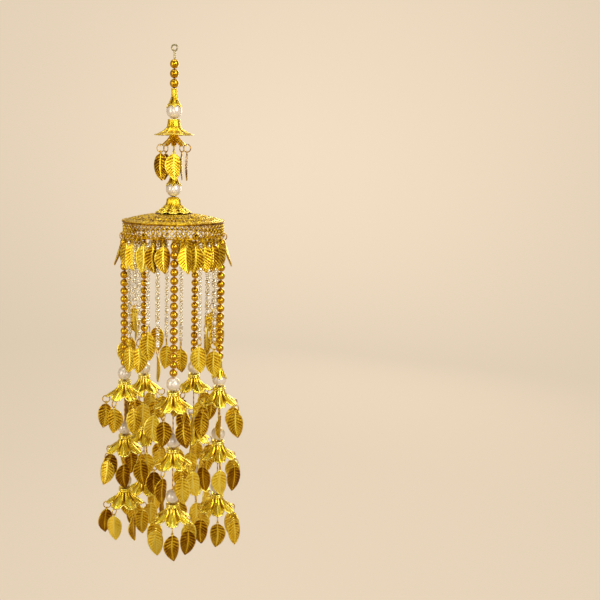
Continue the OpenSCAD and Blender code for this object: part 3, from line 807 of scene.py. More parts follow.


# Each gold has its colours from the painted shade of a hollow to the painted highlight of a ridge, the
# roughness of ridge and hollow, the width of its grain in millimetres and its strength, the width of its
# clouds, the strength of its specks, and whether the leaves of a piece differ in tone and painted light
GOLDS = {
    # Brass stamped from thin sheet, plated in 22 karat colour: painted highlights make the ridges lemon and
    # painted shade makes the hollows brown
    "gold_plated_stamped_brass": (
        [(0.0, "#3A2204"), (0.22, "#986A10"), (0.5, "#E8C026"), (0.8, "#FFE648"), (1.0, "#FFF07A")],
        (0.2, 0.4), 0.5, 0.6, 6.0, 0.08,
    ),
    # Thin soft brass pressed over a smooth former, then plated lemon yellow: clean ribs, with painted shade
    # darkening the gaps
    "gold_plated_pressed_petal": (
        [(0.0, "#6A4408"), (0.22, "#C08E18"), (0.5, "#F4D030"), (0.8, "#FFEC4C"), (1.0, "#FFF486")],
        (0.2, 0.36), 0.9, 0.25, 6.0, 0.04,
    ),
    # Solder granules and rolled wires, polished by wear and painted with the brightest highlights on the
    # piece
    "gold_plated_granules": (
        [(0.0, "#C08A18"), (0.5, "#F6CF34"), (1.0, "#FFEE6A")], (0.12, 0.25), 0.6, 0.1,
    ),
    # Leaves blanked and embossed in thin brass, plated satin: painted highlights light the veins and painted
    # shade keeps the ground brown
    "gold_plated_embossed_leaf": (
        [(0.0, "#6E440A"), (0.2, "#B68618"), (0.42, "#E2BC2C"), (0.65, "#FBE23E"), (1.0, "#FFF480")],
        (0.3, 0.46), 1.1, 0.45, 5.0, 0.15, True,
    ),
    # Hollow balls pressed in two halves, tumbled and plated: a mirror with soft dents
    "gold_plated_polished_ball": (
        [(0.0, "#6E480A"), (0.45, "#BC901C"), (0.8, "#EFC634")], (0.1, 0.22), 1.6, 0.12,
    ),
    # Drawn brass wire with a thin pale plating
    "pale_gold_plated_wire": (
        [(0.0, "#9A9066"), (0.5, "#E8E0C2"), (1.0, "#FCFAEC")], (0.16, 0.32), 0.3, 0.15,
    ),
}


def gilt(name):
    """One of the golds, made once."""
    return Workshop.get(name, lambda: gold(name, *GOLDS[name]))


def pearl_white():
    """The coat of the pearls, made once."""
    return Workshop.get("pearl_white", pearl_coat)


def granulated(name, spots, radius, material):
    """A piece of granules, one on each spot."""
    grain = Workshop.get("granule_%.2f" % radius, lambda: single_shape(
        "granule_shape_%d" % round(100 * radius), ball_part(radius, radius * 0.2, 7, 4, 0.95)
    ))
    return scattered(name, spots, grain, material)


def scattered(name, spots, grain, material):
    """A piece of one small shape repeated on each spot, with a little chance in its size."""
    tree = Workshop.get("granule_tree", granule_tree)
    return run_tree(point_host(name, spots), tree, {"Granule": grain, "Metal": material})


def seat_angle(seat):
    """Where a seat of the rim lies round the axis, from the front."""
    return math.radians(FRONT_TURN + seat * SEAT_STEP)


def box_mm(node):
    low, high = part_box(node)
    return Vector(low) / MM, Vector(high) / MM


def box_middle(node):
    """Middle of a node's box as seen from above, with the heights of its foot and its top."""
    low, high = box_mm(node)
    middle = (low + high) / 2
    return Vector((middle.x, middle.y, 0)), low.z, high.z


def strand_axis(k):
    return box_middle("pearls_%d" % k)[0]


def drop_shapes():
    """A collection of the ring and the leaves bent to either side, in the order of their picks."""
    sizes = bpy.context.scene.kalire_leaves
    shapes = bpy.data.collections.new("drop_shapes")
    shapes.objects.link(single_shape("a_ring", jump_ring_part()))
    shapes.objects.link(single_shape("b_leaf_left", *leaf_part(sizes, -1)))
    shapes.objects.link(single_shape("c_leaf_right", *leaf_part(sizes, 1)))
    return shapes


def drop_rows(centre, heading, turn, tilt, hand, chance, shine=0.0):
    """A jump ring and its leaf as two rows of place, spin, pick and tone with painted light and shade."""
    hang = Matrix.Translation(centre) @ Matrix.Rotation(heading, 4, "Z")
    leaf = hang @ Matrix.Rotation(math.radians(-tilt), 4, "X")
    leaf = leaf @ Matrix.Translation((0, 0, -RING_RADIUS)) @ Matrix.Rotation(math.radians(turn), 4, "Z")
    # The leaf's painted light and shade, with a little tone that differs at random
    tone_and_shade = shine + chance.uniform(-0.1, 0.1)
    return [
        (hang.to_translation(), hang.to_euler(), 0, RING_TONE),
        (leaf.to_translation(), leaf.to_euler(), 2 if hand > 0 else 1, tone_and_shade),
    ]


def hang_piece(name, rows):
    """One piece of rings and leaves from their rows."""
    host = point_host(name, [row[0] for row in rows])
    for place, (label, kind, field) in enumerate(
        (("spin", "FLOAT_VECTOR", "vector"), ("pick", "INT", "value"), ("tone_and_shade", "FLOAT", "value")), 1
    ):
        values = [row[place] for row in rows]
        if kind == "FLOAT_VECTOR":
            values = [number for value in values for number in value]
        host.data.attributes.new(label, kind, "POINT").data.foreach_set(field, values)
    tree = Workshop.get("hanging_tree", hanging_tree)
    shapes = Workshop.get("drop_shapes", drop_shapes)
    return run_tree(host, tree, {"Shapes": shapes, "Metal": gilt("gold_plated_embossed_leaf")})


def finished(piece, slot, *nodes):
    """Rides a piece on the one body and hides the nodes that it stands for."""
    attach(piece, "root")
    if nodes:
        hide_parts(*nodes)


def painted(piece, gold_name):
    piece.data.materials.clear()
    piece.data.materials.append(gilt(gold_name))
    return piece


class LeafSizes(bpy.types.PropertyGroup):
    leaf_length: bpy.props.FloatProperty(
        name="Length", description="Length of a leaf's blade in millimetres", default=15.2, min=12, max=16)
    leaf_width: bpy.props.FloatProperty(
        name="Width", description="Width of a leaf's blade in millimetres", default=9.2, min=6.5, max=10)
    leaf_sheet: bpy.props.FloatProperty(
        name="Sheet", description="Thickness of a leaf's sheet in millimetres", default=0.3, min=0.2, max=0.5)
    vein_count: bpy.props.IntProperty(
        name="Veins", description="Side veins on each half of a leaf", default=10, min=6, max=14)
    vein_height: bpy.props.FloatProperty(
        name="Vein height", description="How far the veins stand proud in millimetres",
        default=0.22, min=0.05, max=0.4)


class CanopySizes(bpy.types.PropertyGroup):
    wires: bpy.props.IntProperty(
        name="Wires", description="Wires of the trellis that lean each way", default=60, min=40, max=80)
    wire_radius: bpy.props.FloatProperty(
        name="Wire", description="Radius of the trellis wire in millimetres", default=0.31, min=0.2, max=0.5)
    half_cells: bpy.props.IntProperty(
        name="Half cells", description="Half diamonds up the height of the trellis", default=5, min=3, max=7)
    hem_granules: bpy.props.IntProperty(
        name="Hem granules", description="Granules in the row along the hem", default=150, min=90, max=200)


class ChainSizes(bpy.types.PropertyGroup):
    link_radius: bpy.props.FloatProperty(
        name="Link", description="Radius of a chain link in millimetres", default=0.95, min=0.5, max=1.1)
    link_wire: bpy.props.FloatProperty(
        name="Link wire", description="Radius of a link's wire in millimetres",
        default=0.24, min=0.1, max=0.3)
    ball_radius: bpy.props.FloatProperty(
        name="Ball", description="Radius of the small balls in millimetres", default=1.2, min=0.7, max=1.3)
    ball_every: bpy.props.IntProperty(
        name="Links between balls", description="Links from one small ball to the next",
        default=6, min=3, max=16)


class StageSizes(bpy.types.PropertyGroup):
    backdrop: bpy.props.FloatVectorProperty(
        name="Backdrop", description="Colour of the backdrop paper", subtype="COLOR", size=4,
        default=linear("#E3D2BA"), min=0, max=1)
    backdrop_glow: bpy.props.FloatProperty(
        name="Backdrop glow", description="Even light that the backdrop paper gives",
        default=0.86, min=0, max=2)
    card_count: bpy.props.IntProperty(
        name="Cards", description="Dark cards round the ornament that its metal reflects",
        default=11, min=3, max=24)
    card_share: bpy.props.FloatProperty(
        name="Card share", description="Share of the circle that the dark cards cover",
        default=0.45, min=0.1, max=0.9, subtype="FACTOR")
    key_power: bpy.props.FloatProperty(
        name="Key light", description="Power of the main soft light in watts", default=6.5, min=1, max=60)
    fill_power: bpy.props.FloatProperty(
        name="Fill light", description="Power of the soft light on the left in watts",
        default=2.5, min=0, max=30)


# Camera, backdrop and lights


def area_light(name, place, size, power, colour):
    """A soft lamp that faces the middle of the ornament."""
    light = bpy.data.lights.new(name, "AREA")
    light.shape = "RECTANGLE"
    light.size, light.size_y = size
    light.energy = power
    light.color = linear(colour)[:3]
    lamp = in_scene(name, light)
    lamp.location = place
    lamp.rotation_euler = (Vector((0.0, 0.0, -0.15)) - Vector(place)).to_track_quat("-Z", "Y").to_euler()


def fitted_camera():
    """The camera that was fitted to the photograph."""
    image_width = 600
    focal_pixels = 798.6
    stem_pixel = 172.7
    sensor = 36.0
    pitch = 0.181
    lean = 0.0077
    data = bpy.data.cameras.new("photo_camera")
    data.sensor_width = sensor
    data.lens = sensor * focal_pixels / image_width
    data.shift_x = (image_width / 2 - stem_pixel) / image_width
    data.clip_start = 0.01
    data.clip_end = 20.0
    camera = in_scene("photo_camera", data)
    place = Matrix.Translation((0.0, -0.466, -0.0586))
    camera.matrix_world = (
        place @ Matrix.Rotation(math.pi / 2 - pitch, 4, "X") @ Matrix.Rotation(lean, 4, "Z")
    )
    return camera


def paper_sweep(colour, glow):
    """A floor that bends up into a wall all round, with painted light that is palest behind the ornament and
    to its right and darker far round the front.
    """
    floor, top, wall, bend, columns = -0.42, 2.6, 1.6, 0.5, 64
    outline = [(0.02, floor), (0.5, floor), (wall - bend, floor)]
    for i in range(1, 12):
        turn = math.pi / 2 * i / 12
        outline.append((wall - bend + bend * math.sin(turn), floor + bend * (1 - math.cos(turn))))
    outline += [(wall, floor + bend + 0.15 * i) for i in range(4)]
    outline.append((wall, top))
    points, lit = [], []
    for reach, height in outline:
        for j in range(columns):
            angle = FULL_TURN * j / columns
            x, y = reach * math.sin(angle), reach * math.cos(angle)
            points.append((x, y, height))
            # Painted light: a pale pool behind the ornament and to its right, and darker paper far round the
            # front
            pool = math.exp(-2.2 * ((x - 0.35) ** 2 + (height + 0.2) ** 2))
            behind = 0.5 * (1 + math.cos(angle)) * reach / wall
            lit.append(1 - 0.34 * (1 - behind) * reach / wall + 0.2 * pool * behind)
    mesh = bpy.data.meshes.new("backdrop")
    mesh.from_pydata(points, [], grid_faces(len(outline), columns) + [list(range(columns))])
    mesh.attributes.new("lit", "FLOAT", "POINT").data.foreach_set("value", lit)
    mesh.shade_smooth()
    mesh.materials.append(paper("matt_backdrop_paper", colour, glow, True))
    in_scene("backdrop", mesh)


def reflected_cards(count, covered):
    """Cards round the ornament, a disc under it and cards at its front, which only its metal reflects."""
    far, low, high = 1.3, -0.41, 1.1
    points, faces = [], []
    for i in range(count):
        for side in (0.0, covered):
            angle = FULL_TURN * (i + side) / count
            points += [outward(angle, far, height) for height in (low, high)]
        faces.append([4 * i, 4 * i + 2, 4 * i + 3, 4 * i + 1])
    start, sides = len(points), 24
    points += [outward(FULL_TURN * i / sides, 0.7, -0.405) for i in range(sides)]
    faces.append(list(range(start, start + sides)))
    strips = 6
    for first, last in ((-34, -3), (26, 42)):
        for near, foot, reach, head in ((0.62, -0.4, 0.62, -0.14), (0.1, -0.4, 0.26, -0.4)):
            start = len(points)
            for i in range(strips + 1):
                angle = math.radians(first + (last - first) * i / strips)
                points += [outward(angle, near, foot), outward(angle, reach, head)]
            for n in range(start, start + 2 * strips, 2):
                faces.append([n, n + 2, n + 3, n + 1])
    mesh = bpy.data.meshes.new("dark_cards")
    mesh.from_pydata(points, [], faces)
    mesh.materials.append(paper("dark_brown_card", linear("#7A5C34"), 0.5))
    mesh.materials.append(paper("light_brown_card", linear("#C8A878"), 0.85))
    mesh.materials.append(paper("black_brown_card", linear("#3C2410"), 0.3))
    for face in mesh.polygons[count:]:
        face.material_index = 1 if face.index == count else 2
    cards = in_scene("dark_cards", mesh)
    cards.visible_camera = False
    cards.visible_diffuse = False
    cards.visible_shadow = False
    cards.visible_transmission = False


def studio_room():
    """Even light from all round, warm at the floor and white overhead."""
    world = bpy.data.worlds.new("studio_room")
    world.use_nodes = True
    tree = world.node_tree
    tree.nodes.clear()
    way = add(tree, "ShaderNodeTexCoord").outputs["Generated"]
    height = add(tree, "ShaderNodeSeparateXYZ", {0: way}).outputs["Z"]
    share = add(tree, "ShaderNodeMapRange", {"Value": height, "From Min": -1.0, "From Max": 1.0}).outputs[0]
    room = ramp(tree, share, [(0.0, "#B8A88E"), (0.45, "#E6D3B8"), (0.7, "#F6EEE0"), (1.0, "#FFFFFF")])
    surface = add(tree, "ShaderNodeBackground", {"Color": room, "Strength": 0.55})
    add(tree, "ShaderNodeOutputWorld", {"Surface": surface.outputs[0]})
    return world


class KALIRE_OT_stage(bpy.types.Operator):
    """Makes the camera at the photographed angle, the backdrop and the soft lights"""
    bl_idname = "kalire.stage"
    bl_label = "Stage"

    def execute(self, context):
        scene = context.scene
        sizes = scene.kalire_stage
        scene.camera = fitted_camera()
        scene.view_settings.view_transform = "Standard"
        paper_sweep(sizes.backdrop, sizes.backdrop_glow)
        reflected_cards(sizes.card_count, sizes.card_share)
        scene.world = studio_room()
        key, fill = sizes.key_power, sizes.fill_power
        area_light("key", (0.6, -0.72, 0.26), (0.42, 0.85), key, "#FFF8EC")
        area_light("fill", (-0.8, -0.5, 0.0), (0.3, 0.8), fill, "#FFF0DC")
        area_light("top", (0.0, 0.1, 0.7), (0.7, 0.5), 0.45 * key, "#FFFDF6")
        area_light("front", (-0.15, -1.0, -0.1), (0.35, 0.5), fill, "#FFFAF0")
        area_light("back", (0.35, 0.8, 0.1), (0.4, 0.6), 0.5 * key, "#FFF6E6")
        return {"FINISHED"}


class KALIRE_OT_leaf_drops(bpy.types.Operator):
    """Hangs the veined leaves on their jump rings, at the star, round the rim and under the flower caps"""
    bl_idname = "kalire.leaf_drops"
    bl_label = "Leaf drops"

    def execute(self, context):
        chance = random.Random(11)
        rows = []
        top = box_middle("umbrella_leaves")[2] - RING_REACH
        for i, (turn, shine, hand) in enumerate(zip(STAR_TURNS, STAR_SHINES, LEAF_HANDS)):
            heading = FULL_TURN * i / len(STAR_TURNS)
            rows += drop_rows(outward(heading, STAR_BRIDGE, top), heading, turn, 0, hand, chance, shine)
        finished(hang_piece("star_leaf_drops", rows), "yellow_gold", "umbrella_leaves")

        rim_top = box_middle("rim_leaves_1")[2] - RING_REACH
        for k in STRANDS:
            rows = []
            for seat, turn, tilt, hand in RIM_LEAVES[k - 1]:
                heading = seat_angle(seat)
                # The leaf at seat 2 is darkened as painted shade, and the others take painted light and shade
                # by chance
                shine = -0.12 if seat == 2 else chance.choice(RIM_SHINES)
                place = outward(heading, SEAT_RADIUS, rim_top)
                rows += drop_rows(place, heading, turn, tilt, hand, chance, shine)
            finished(hang_piece("rim_leaf_drops_%d" % k, rows), "yellow_gold", "rim_leaves_%d" % k)

        for k in STRANDS:
            rows = []
            first = box_middle("cap_leaves_%d" % k)[2] - RING_REACH
            pitch = box_middle("flower_cap_%d_1" % k)[2] - box_middle("flower_cap_%d_2" % k)[2]
            for t, cap_turn in enumerate(FLOWER_TURNS[k - 1]):
                for i, petal_turn in enumerate(PETAL_TURNS):
                    heading = math.radians(cap_turn + (i - 2) * 360 / FLOWER_PETALS)
                    place = strand_axis(k) + outward(heading, FLOWER_BRIDGE, first - t * pitch)
                    turn = petal_turn - cap_turn + TURN_SHIFTS[(i + 2 * t + k) % len(TURN_SHIFTS)]
                    tilt = DROP_TILTS[(i + t + 3 * k) % len(DROP_TILTS)]
                    hand = LEAF_HANDS[(i + t + k) % len(LEAF_HANDS)]
                    # Painted light and shade by chance, with the lower tiers painted lighter
                    shine = chance.choice(CAP_SHINES) + TIER_SHINES[t]
                    rows += drop_rows(place, heading, turn, tilt, hand, chance, shine)
            finished(hang_piece("cap_leaf_drops_%d" % k, rows), "yellow_gold", "cap_leaves_%d" % k)
        return {"FINISHED"}


class KALIRE_OT_fine_chains(bpy.types.Operator):
    """Links the fine chains between the leaves of the rim, with their small balls and their leaves"""
    bl_idname = "kalire.fine_chains"
    bl_label = "Fine chains"

    def execute(self, context):
        sizes = context.scene.kalire_chains
        chance = random.Random(23)
        tree = Workshop.get("linking_tree", linking_tree)
        metal = gilt("pale_gold_plated_wire")
        ball_bore, cream_radius = 0.3, 1.25
        cream_rise, cream_range = 1.6, (9, 15)
        hoop = lathe(circle_outline(sizes.link_radius, sizes.link_wire, 5), 10, 0.7)
        link = single_shape("link_shape", moved(hoop, Matrix.Rotation(math.pi / 2, 4, "X")))
        ball = single_shape("small_ball_shape", ball_part(sizes.ball_radius, ball_bore, 12, 6, 0.9))
        cream = single_shape("cream_ball_shape", ball_part(cream_radius, ball_bore, 14, 8, 0.9))
        # Two links hook into each other, so each is less than its own inner width below the last
        pitch = 0.8 * 2 * (sizes.link_radius - sizes.link_wire) * MM
        top = box_middle("rim_leaves_1")[2] - RING_REACH
        for k in STRANDS:
            rows, ends, creams = [], [], []
            for seat, share, turn, hand in CHAINS[k - 1]:
                heading = seat_angle(seat)
                place = outward(heading, SEAT_RADIUS, top)
                foot = place - Vector((0, 0, share * CHAIN_LENGTH))
                rows.append((place, Euler((0, 0, heading)), 0, RING_TONE))
                rows += drop_rows(foot, heading, turn, 0, hand, chance)
                ends += [place - Vector((0, 0, RING_RADIUS)), foot + Vector((0, 0, RING_RADIUS))]
                for rise in (cream_rise, chance.uniform(*cream_range)):
                    creams.append(foot + Vector((0, 0, RING_RADIUS + rise)))
            edges = [(i, i + 1) for i in range(0, len(ends), 2)]
            finished(hang_piece("chain_leaf_drops_%d" % k, rows), "pale_gold", "inner_chains_%d" % k)
            for name, shape, every in (("fine_chains", link, 1), ("chain_balls", ball, sizes.ball_every)):
                piece = run_tree(point_host("%s_%d" % (name, k), ends, edges), tree, {
                    "Link": shape, "Pitch": pitch, "Every": every, "Metal": metal,
                })
                finished(piece, "pale_gold", "inner_chains_%d" % k)
            finished(scattered("cream_balls_%d" % k, creams, cream, pearl_white()), "pearl")
        return {"FINISHED"}


class KALIRE_OT_beads(bpy.types.Operator):
    """Threads the gold balls and the pearls on the stem and on the five strings"""
    bl_idname = "kalire.beads"
    bl_label = "Beads and pearls"

    def execute(self, context):
        tree = Workshop.get("threading_tree", threading_tree)
        string_bore, stem_bore = 0.47, 0.57

        def ball(name, node, bore):
            """A ball as wide as a node, and how far its drilled top is from its middle."""
            low, high = box_mm(node)
            radius = (high.x - low.x) / 2
            return single_shape(name, ball_part(radius, bore, 24, 13)), math.sqrt(radius ** 2 - bore ** 2)

        def thread(name, node, count, shape, surface, slot):
            bead, half = shape
            middle, low, high = box_middle(node)
            pitch = (high - low - 2 * half) / max(1, count - 1)
            piece = run_tree(point_host(name), tree, {
                "Bead": bead, "Count": count, "First": (middle + Vector((0, 0, high - half))) * MM,
                "Pitch": pitch * MM, "Surface": surface,
            })
            finished(piece, slot, node)

        polished, coat = gilt("gold_plated_polished_ball"), pearl_white()
        bead = ball("string_bead_shape", "gold_beads_1", string_bore)
        pearl = ball("strand_pearl_shape", "pearls_1", string_bore)
        for k in STRANDS:
            node = "gold_beads_%d" % k
            middle, low, high = box_middle(node)
            count = round((high - low) / BEAD_PITCH)
            thread("gold_balls_%d" % k, node, count, bead, polished, "yellow_gold")
            thread("strand_pearls_%d" % k, "pearls_%d" % k, len(TIERS), pearl, coat, "pearl")
        bead = ball("top_ball_shape", "top_bead_1", stem_bore)
        for i in range(1, 4):
            thread("stem_ball_%d" % i, "top_bead_%d" % i, 1, bead, polished, "yellow_gold")
        pearl = ball("stem_pearl_shape", "upper_pearl", stem_bore)
        for name in ("upper_pearl", "lower_pearl"):
            thread(name + "_lacquered", name, 1, pearl, coat, "pearl")
        return {"FINISHED"}


class KALIRE_OT_flower_caps(bpy.types.Operator):
    """Stamps the fifteen flower caps with their rolled collars, fluted necks and granulated petals"""
    bl_idname = "kalire.flower_caps"
    bl_label = "Flower caps"

    def execute(self, context):
        lobes = lobed_reach(FLOWER_PETALS, FLOWER["rim"], 3.9)
        scallop, scallops, columns = 0.25, 4, 120

        def ruffled(angle):
            return lobes(angle) - scallop + scallop * math.cos(FLOWER_PETALS * scallops * angle)

        parts = [
            cap_part(FLOWER, ruffled, flutes=FLOWER_PETALS, flute_depth=0.55, ribs=3, rib_depth=0.16,
                     columns=columns, rows=16, bore=0.5, top=-0.25, pleats=1.0, lace=0.12, curl_up=0.3,
                     fringe=0.35),
            rim_wire(FLOWER, ruffled, 0.36, columns, 0.15),
            lathe(circle_outline(3.2, 0.62, 8, -0.62), 36, 0.95),
            lathe(circle_outline(3.35, 0.55, 8, -1.72), 36, 0.95),
        ]
        spots = petal_granules(FLOWER, ruffled, FLOWER_PETALS, [(0.93, 7)], 0.8)
        for k in STRANDS:
            for t in TIERS:
                node = "flower_cap_%d_%d" % (k, t)
                place = strand_axis(k) + Vector((0, 0, box_middle(node)[2]))
                turn = math.radians(FLOWER_TURNS[k - 1][t - 1])
                put = Matrix.Translation(place) @ Matrix.Rotation(turn, 4, "Z")
                piece = merged("stamped_" + node, [moved(part, put) for part in parts])
                finished(painted(piece, "gold_plated_pressed_petal"), "yellow_gold", node)
                grains = granulated(
                    "granules_" + node, [put @ spot for spot in spots], 0.45, gilt("gold_plated_granules")
                )
                finished(grains, "yellow_gold", node)
        return {"FINISHED"}


class KALIRE_OT_stem_caps(bpy.types.Operator):
    """Stamps the trumpet caps, the umbrella, the star and the crown on the stem"""
    bl_idname = "kalire.stem_caps"
    bl_label = "Stem caps"

    def execute(self, context):
        trumpet_rim = pointed_reach(6, TRUMPET["rim"], 0.76 * TRUMPET["rim"])
        star_rim = arm_reach(5, STAR["rim"], 2.3, 1.28, 2.6)
        crown_rim = lobed_reach(8, CROWN["rim"], 3.6)

        def round_rim(angle):
            return 11.12

        trumpet = [
            cap_part(TRUMPET, trumpet_rim, flutes=6, flute_depth=0.16, ribs=3, rib_depth=0.05,
                     columns=96, rows=18, pleats=0.8, lace=0.4),
            rim_wire(TRUMPET, trumpet_rim, 0.2, 96),
            lathe(circle_outline(1.55, 0.3, 10, -0.3), 48, 0.95),
        ]
        umbrella = [
            cap_part(UMBRELLA, round_rim, flutes=12, flute_depth=0.14, ribs=2, rib_depth=0.1,
                     columns=168, rows=24, curl_up=0.15, shoulder=0.9, lace=0.5, inside_shade=1.0),
            rim_wire(UMBRELLA, round_rim, 0.25, lift=0.1),
            lathe(circle_outline(3.3, 0.45, 10, -0.5), 48, 0.95),
        ]
        star = [
            # The star's metal is painted lighter against the umbrella's shade, and its inside takes little
            # painted shade
            cap_part(STAR, star_rim, flutes=5, flute_depth=0.2, ribs=3, rib_depth=0.05,
                     columns=120, rows=20, pleats=0.5, inside_shade=0.8, painted_light=0.45),
        ]
        crown = [
            cap_part(CROWN, crown_rim, flutes=8, flute_depth=0.3, ribs=3, rib_depth=0.16,
                     columns=192, rows=24, shoulder=1.4, lace=0.9),
            rim_wire(CROWN, crown_rim, 0.28),
            rim_wire(CROWN, crown_rim, 0.2, lift=0.1, share=0.55),
        ]
        for name, node, parts in (
            ("upper_trumpet_cap", "upper_trumpet", trumpet),
            ("lower_trumpet_cap", "lower_trumpet", trumpet),
            ("right_strand_trumpet_cap", "strand_trumpet_2", trumpet),
            ("umbrella_cap", "umbrella", umbrella),
            ("star_cap", "star", star),
            ("crown_cap", "crown", crown),
        ):
            middle, low, high = box_middle(node)
            place = Vector((0, 0, high))
            if node == "strand_trumpet_2":
                place += middle
            piece = merged(name, [moved(part, Matrix.Translation(place)) for part in parts])
            finished(painted(piece, "gold_plated_stamped_brass"), "yellow_gold", node)
        top = Vector((0, 0, box_middle("crown")[2]))
        spots = petal_granules(CROWN, crown_rim, 8, [(0.95, 9), (0.8, 7), (0.45, 3)], 0.85)
        grains = granulated(
            "granules_crown", [top + spot for spot in spots], 0.33, gilt("gold_plated_granules")
        )
        finished(grains, "yellow_gold", "crown")
        return {"FINISHED"}


def filigree(reach, angle):
    """How proud the lid's filigree stands: rings of looped wire and beads round the crown."""
    best = 0.0
    for middle, loop, wire, count, shift in LID_LOOPS:
        step = FULL_TURN / count
        off = (angle / step + shift) % 1.0 - 0.5
        across = 2 * middle * math.sin(off * step / 2)
        gap = abs(math.hypot(across, reach - middle) - loop)
        best = max(best, 1 - (gap / wire) ** 2)
    for middle in LID_ROUNDS:
        best = max(best, 1 - ((reach - middle) / ROUND_WIRE) ** 2)
    return best


class KALIRE_OT_canopy(bpy.types.Operator):
    """Builds the filigree lid, the rolled rim, the trellis band and its beaded hem"""
    bl_idname = "kalire.canopy"
    bl_label = "Canopy"

    def execute(self, context):
        sizes = context.scene.kalire_canopy
        metal = gilt("gold_plated_stamped_brass")
        middle, bottom, apex = box_middle("canopy")
        rim = apex - LID_RISE
        dome = (LID_RADIUS ** 2 + LID_RISE ** 2) / (2 * LID_RISE)
        hem, hem_half = 0.7, 0.35
        roll_wire = 0.55

        def lid_height(reach):
            return apex - dome + math.sqrt(dome ** 2 - reach ** 2)

        rows, columns, hole = 64, 396, 9.0
        points, relief = [], []
        for i in range(rows + 1):
            reach = hole + (LID_RADIUS - 0.5 - hole) * i / rows
            # Painted shade darkens the lid round the foot of the crown; the ground between the filigree is
            # painted dark and the wires bright
            shade = min(1.0, max(0.15, (reach - 9.6) / 2.4))
            for j in range(columns):
                angle = FULL_TURN * j / columns
                proud = filigree(reach, angle)
                points.append(outward(angle, reach, lid_height(reach) + 0.4 * proud ** 0.6 - 0.3))
                relief.append(0.02 + 0.7 * proud * shade)
        outline = [(0.6, apex)] + [(reach, lid_height(reach) - 0.1) for reach in (4.5, 9.2)]
        outline += [(reach, lid_height(reach) - 0.7) for reach in (29.6, 20.0, 10.0, 0.6)]
        inner, outer = SEAT_RADIUS - hem_half, SEAT_RADIUS + hem_half
        # The lid's underside and rolled rim are painted dark as shade
        piece = merged("filigree_lid", [
            (points, grid_faces(rows + 1, columns), relief),
            lathe(outline, 96, 0.15),
            lathe(circle_outline(LID_RADIUS - roll_wire, roll_wire, 12, rim - 0.3), 200, 0.2),
            lathe([(inner, bottom), (outer, bottom), (outer, bottom + hem), (inner, bottom + hem)], 200, 0.5),
        ])
        finished(painted(piece, "gold_plated_stamped_brass"), "yellow_gold", "canopy")

        cell = FULL_TURN / sizes.wires
        start = math.radians(FRONT_TURN)
        sunk = 0.25
        foot = bottom + hem - sunk
        tall = rim - 0.4 - foot
        trellis = run_tree(point_host("trellis_band"), trellis_tree(), {
            "Radius": SEAT_RADIUS * MM, "Low": foot * MM, "Height": tall * MM, "Wires": sizes.wires,
            "Lean": sizes.half_cells * cell / 2, "Start": start, "Wire": sizes.wire_radius * MM,
            "Metal": metal,
        })
        finished(trellis, "yellow_gold", "canopy")

        crossings = [
            outward(start + cell * (i + row / 2), SEAT_RADIUS + 0.25, foot + tall * row / sizes.half_cells)
            for row in range(1, sizes.half_cells) for i in range(sizes.wires)
        ]
        finished(granulated("trellis_studs", crossings, 0.38, metal), "yellow_gold", "canopy")

        circling = circling_tree()
        # The granules of the hem and of the rim take a dull painted shade
        granule = ball_part(0.4, 0.08, 8, 5, 0.36)
        for name, reach, height, number in (
            ("hem_granules", SEAT_RADIUS + 0.3, bottom + 0.42, sizes.hem_granules),
            ("rim_granules", LID_RADIUS - 0.5, rim + 0.1, 170),
        ):
            front = Matrix.Translation(outward(0.0, reach, height))
            shape = single_shape(name + "_shape", moved(granule, front))
            beading = run_tree(point_host(name), circling, {"Shape": shape, "Count": number, "Metal": metal})
            finished(beading, "yellow_gold", "canopy")
        return {"FINISHED"}


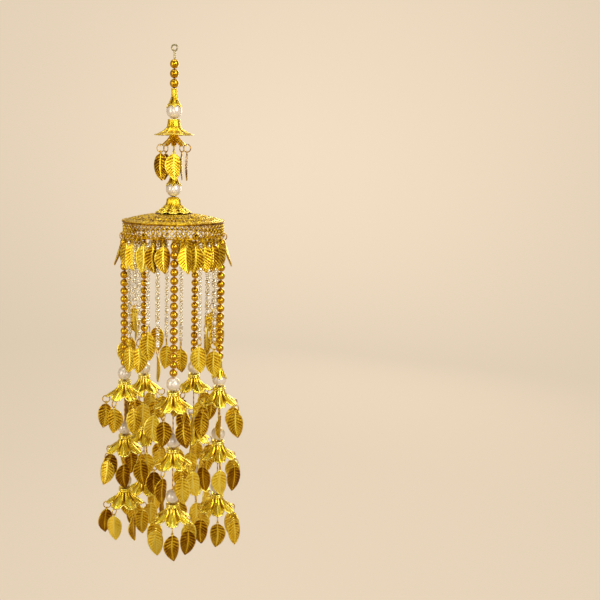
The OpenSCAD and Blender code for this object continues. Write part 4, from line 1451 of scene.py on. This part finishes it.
class KALIRE_OT_wires(bpy.types.Operator):
    """Finishes the stem wire and the threads, and twists the wire ends under the eye"""
    bl_idname = "kalire.wires"
    bl_label = "Wires"

    def execute(self, context):
        nodes = frame["nodes"]
        painted(nodes["stem_wire"], "pale_gold_plated_wire")
        silk = gilt_silk()
        for k in STRANDS:
            thread = nodes["thread_%d" % k]
            thread.data.materials.clear()
            thread.data.materials.append(silk)
        twist_radius, wire, turns = 0.62, 0.24, 4
        top, bottom = -1.9, -6.0
        steps, sides = 56, 6
        points = []
        for i in range(steps + 1):
            share = i / steps
            angle = FULL_TURN * turns * share
            out = Vector((math.cos(angle), math.sin(angle), 0))
            up = Vector((0, 0, 1))
            centre = twist_radius * out + (top + (bottom - top) * share) * up
            for j in range(sides):
                roll = FULL_TURN * j / sides
                points.append(centre + wire * (math.cos(roll) * out + math.sin(roll) * up))
        piece = merged("stem_twist", [(points, rod_faces(steps + 1, sides), [0.7] * len(points))])
        finished(painted(piece, "pale_gold_plated_wire"), "pale_gold")
        return {"FINISHED"}


class KALIRE_PT_panel(bpy.types.Panel):
    """Sizes and steps of the ornament"""
    bl_label = "Kalire"
    bl_idname = "KALIRE_PT_panel"
    bl_space_type = "VIEW_3D"
    bl_region_type = "UI"
    bl_category = "Kalire"

    def draw(self, context):
        layout = self.layout
        for group, title in SETTINGS:
            layout.label(text=title)
            settings = getattr(context.scene, group)
            for name in settings.__annotations__:
                layout.prop(settings, name)
        for step in STEPS:
            layout.operator(step.bl_idname)


SETTINGS = (
    ("kalire_leaves", "Leaves"),
    ("kalire_canopy", "Canopy"),
    ("kalire_chains", "Chains"),
    ("kalire_stage", "Stage"),
)
STEPS = (
    KALIRE_OT_stage,
    KALIRE_OT_wires,
    KALIRE_OT_beads,
    KALIRE_OT_stem_caps,
    KALIRE_OT_canopy,
    KALIRE_OT_flower_caps,
    KALIRE_OT_leaf_drops,
    KALIRE_OT_fine_chains,
)
GROUPS = (LeafSizes, CanopySizes, ChainSizes, StageSizes)


def register():
    for item in GROUPS + STEPS + (KALIRE_PT_panel,):
        bpy.utils.register_class(item)
    for (name, title), group in zip(SETTINGS, GROUPS):
        setattr(bpy.types.Scene, name, bpy.props.PointerProperty(type=group, name=title))


def unregister():
    for name, title in SETTINGS:
        delattr(bpy.types.Scene, name)
    for item in reversed(GROUPS + STEPS + (KALIRE_PT_panel,)):
        bpy.utils.unregister_class(item)


def main():
    register()
    for step in STEPS:
        family, action = step.bl_idname.split(".")
        getattr(getattr(bpy.ops, family), action)()


if __name__ == "__main__":
    main()
